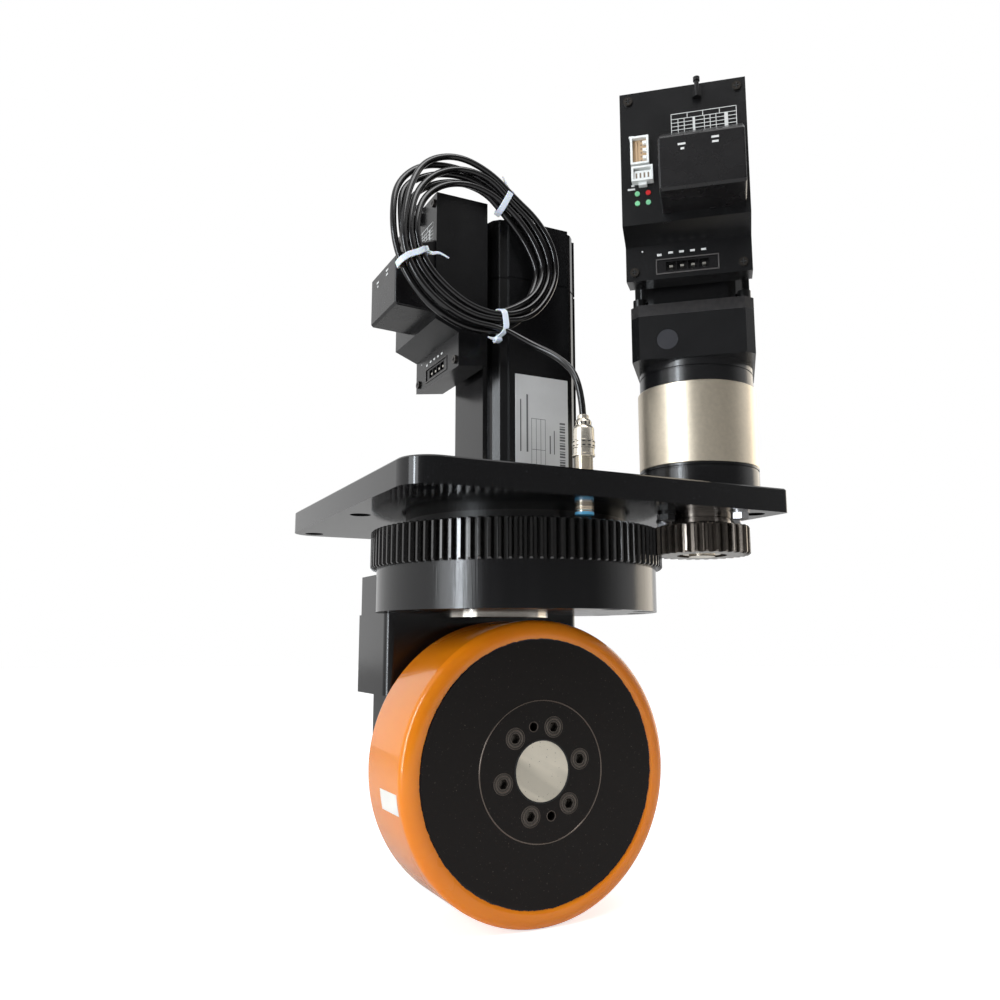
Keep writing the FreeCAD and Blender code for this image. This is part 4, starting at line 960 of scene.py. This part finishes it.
def panel_details(prefix, spec):
    """The small parts of one drive's panel, all in the panel's own frame."""
    x, y, z = spec["at"]
    body = spec["body"]
    matrix = Matrix.Translation((x, y, z)) @ Matrix.Rotation(math.radians(spec["azimuth"]), 4, "Z")
    piece = boxes(prefix + "_panel_print", panel_print(), M["print"], body, matrix, 0.0)
    header_parts(matrix, prefix, body)
    # The screws' cross recesses are flat dark boxes just proud of the heads: painted shade in the recesses.
    cross = []
    for out, high in ((LOWER_OUT, SCREW_INSET), (PANEL_OUT, DRIVE_H - SCREW_INSET)):
        face = out + SCREW_OUT
        for t in (-SCREW_ACROSS, SCREW_ACROSS):
            cross.append(((face - 0.7, t - 1.9, high - 0.4), (face + 0.03, t + 1.9, high + 0.4)))
            cross.append(((face - 0.7, t - 0.4, high - 1.9), (face + 0.03, t + 0.4, high + 1.9)))
    piece = boxes(prefix + "_screw_cross", cross, M["dark"], body, matrix, 0.0)
    left, low, right, high = SOCKET
    f, w, out = LOWER_OUT, 0.9, LOWER_OUT + 0.5
    rim_sizes = [((f, left - w, low - w), (out, right + w, low)),
                 ((f, left - w, high), (out, right + w, high + w)),
                 ((f, left - w, low), (out, left, high)),
                 ((f, right, low), (out, right + w, high))]
    piece = boxes(prefix + "_socket_rim", rim_sizes, M["rim"], body, matrix, 0.2)
    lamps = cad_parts[prefix + "_status_lamps"]
    lamps.data.materials.clear()
    lamps.data.materials.append(M["green"])
    lamps.data.materials.append(M["red"])
    inverse = (Matrix.Scale(MM, 4) @ matrix).inverted()
    places = [inverse @ polygon.center for polygon in lamps.data.polygons]
    split_t = (min(p.y for p in places) + max(p.y for p in places)) / 2
    split_z = (min(p.z for p in places) + max(p.z for p in places)) / 2
    for polygon, place in zip(lamps.data.polygons, places):
        polygon.material_index = 1 if place.y > split_t and place.z > split_z else 0


def make_label():
    """A blank rating plate on the traction motor, with plain rules and bars but no words."""
    y = MOTOR_FRONT
    left, low, right, high = LABEL
    plate = boxes("label_plate", [((left, y - 0.35, low), (right, y - 0.02, high))], M["label"], "turret")
    lines = []
    face = (y - 0.4, y - 0.3)
    for x in (left + 12.5, left + 16.2, left + 19.8, left + 23.4):
        lines.append(((x, face[0], low + 3), (x + 0.3, face[1], high - 31)))
    for z in (high - 31, high - 53):
        lines.append(((left + 12.5, face[0], z), (left + 23.7, face[1], z + 0.3)))
    for x, top, wide in ((left + 3.6, high - 18, 0.9), (left + 8.6, high - 14, 1.3),
                         (left + 27.0, high - 42, 0.9), (left + 30.4, high - 38, 0.7)):
        lines.append(((x, face[0], low + 14), (x + wide, face[1], top)))
    piece = boxes("label_rules", lines, M["line"], "turret", None, 0.0)
    bars = []
    for k in range(17):
        z = low + 4 + 2.0 * k
        bars.append(((right - 7.0, face[0], z), (right - 2.6, face[1], z + (1.3 if k % 3 else 0.7))))
    piece = boxes("label_bars", bars, M["line"], "turret", None, 0.0)


for prefix, spec in DRIVES.items():
    panel_details(prefix, spec)
make_label()


# Finishes of the carried-over solids
dress("mounting_plate", M["plate"], 0.3)
dress("turret_ring", M["turret"], 0.4)
dress("slewing_gear", M["gear"], 0.2)
dress("steer_pinion", M["pinion"], 0.2)
dress("bearing_inner_ring", M["oxide"], 0.3)
dress("bearing_rollers axle_bearings shaft_bearing", M["steel"], 0.2)
dress("inner_ring_screws turret_ring_screws housing_screws reducer_screws end_cover_screws", M["screw"], 0.25)
dress("steer_motor_screws", M["screw"], 0.25)
dress("hub_screws", M["bright_screw"], 0.5)
dress("steer_panel_screws traction_panel_screws", M["bright_screw"], 0.3)
dress("gearbox_bolts", M["zinc"], 0.3)
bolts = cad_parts["gearbox_bolts"].data
bolts.materials.append(M["screw"])
for polygon in bolts.polygons:
    polygon.material_index = 1 if polygon.center.x < PINION_AT[0] * MM - 0.02 else 0
dress("steer_adapter_block", M["block"], 0.9)
dress("clamp_access_plug", M["plug"], 0.3)
dress("steer_motor_flange", M["cast_grey"], 0.6)
dress("gear_housing", M["cast_black"], 1.4)
dress("bearing_end_cover", M["cast_black"], 0.5)
dress("locating_spigot", M["spigot"], 0.3)
dress("traction_reducer", M["silver"], 0.4)
dress("axle", M["shaft"], 0.8)
dress("hub_flange", M["hub"], 0.5)
dress("wheel_hub", M["hub"], 0.3)
dress("axle_seal", M["seal"])
dress("steer_shaft pinion_retainer sensor_nut", M["nickel"], 0.3)
dress("sensor_cap", M["blue"], 0.4)
for prefix in DRIVES:
    dress(prefix + "_motor_body", M["motor"], 0.8)
    dress(prefix + "_drive_box", M["drive"], 1.1)
    dress(prefix + "_terminal_cover", M["cover"], 0.6)
    dress(prefix + "_power_connector " + prefix + "_cable_post", M["cover"], 0.3)
    dress(prefix + "_power_pins", M["tin"], 0.1)
    dress(prefix + "_signal_headers", M["white"], 0.3)

make_sky()
make_stage()
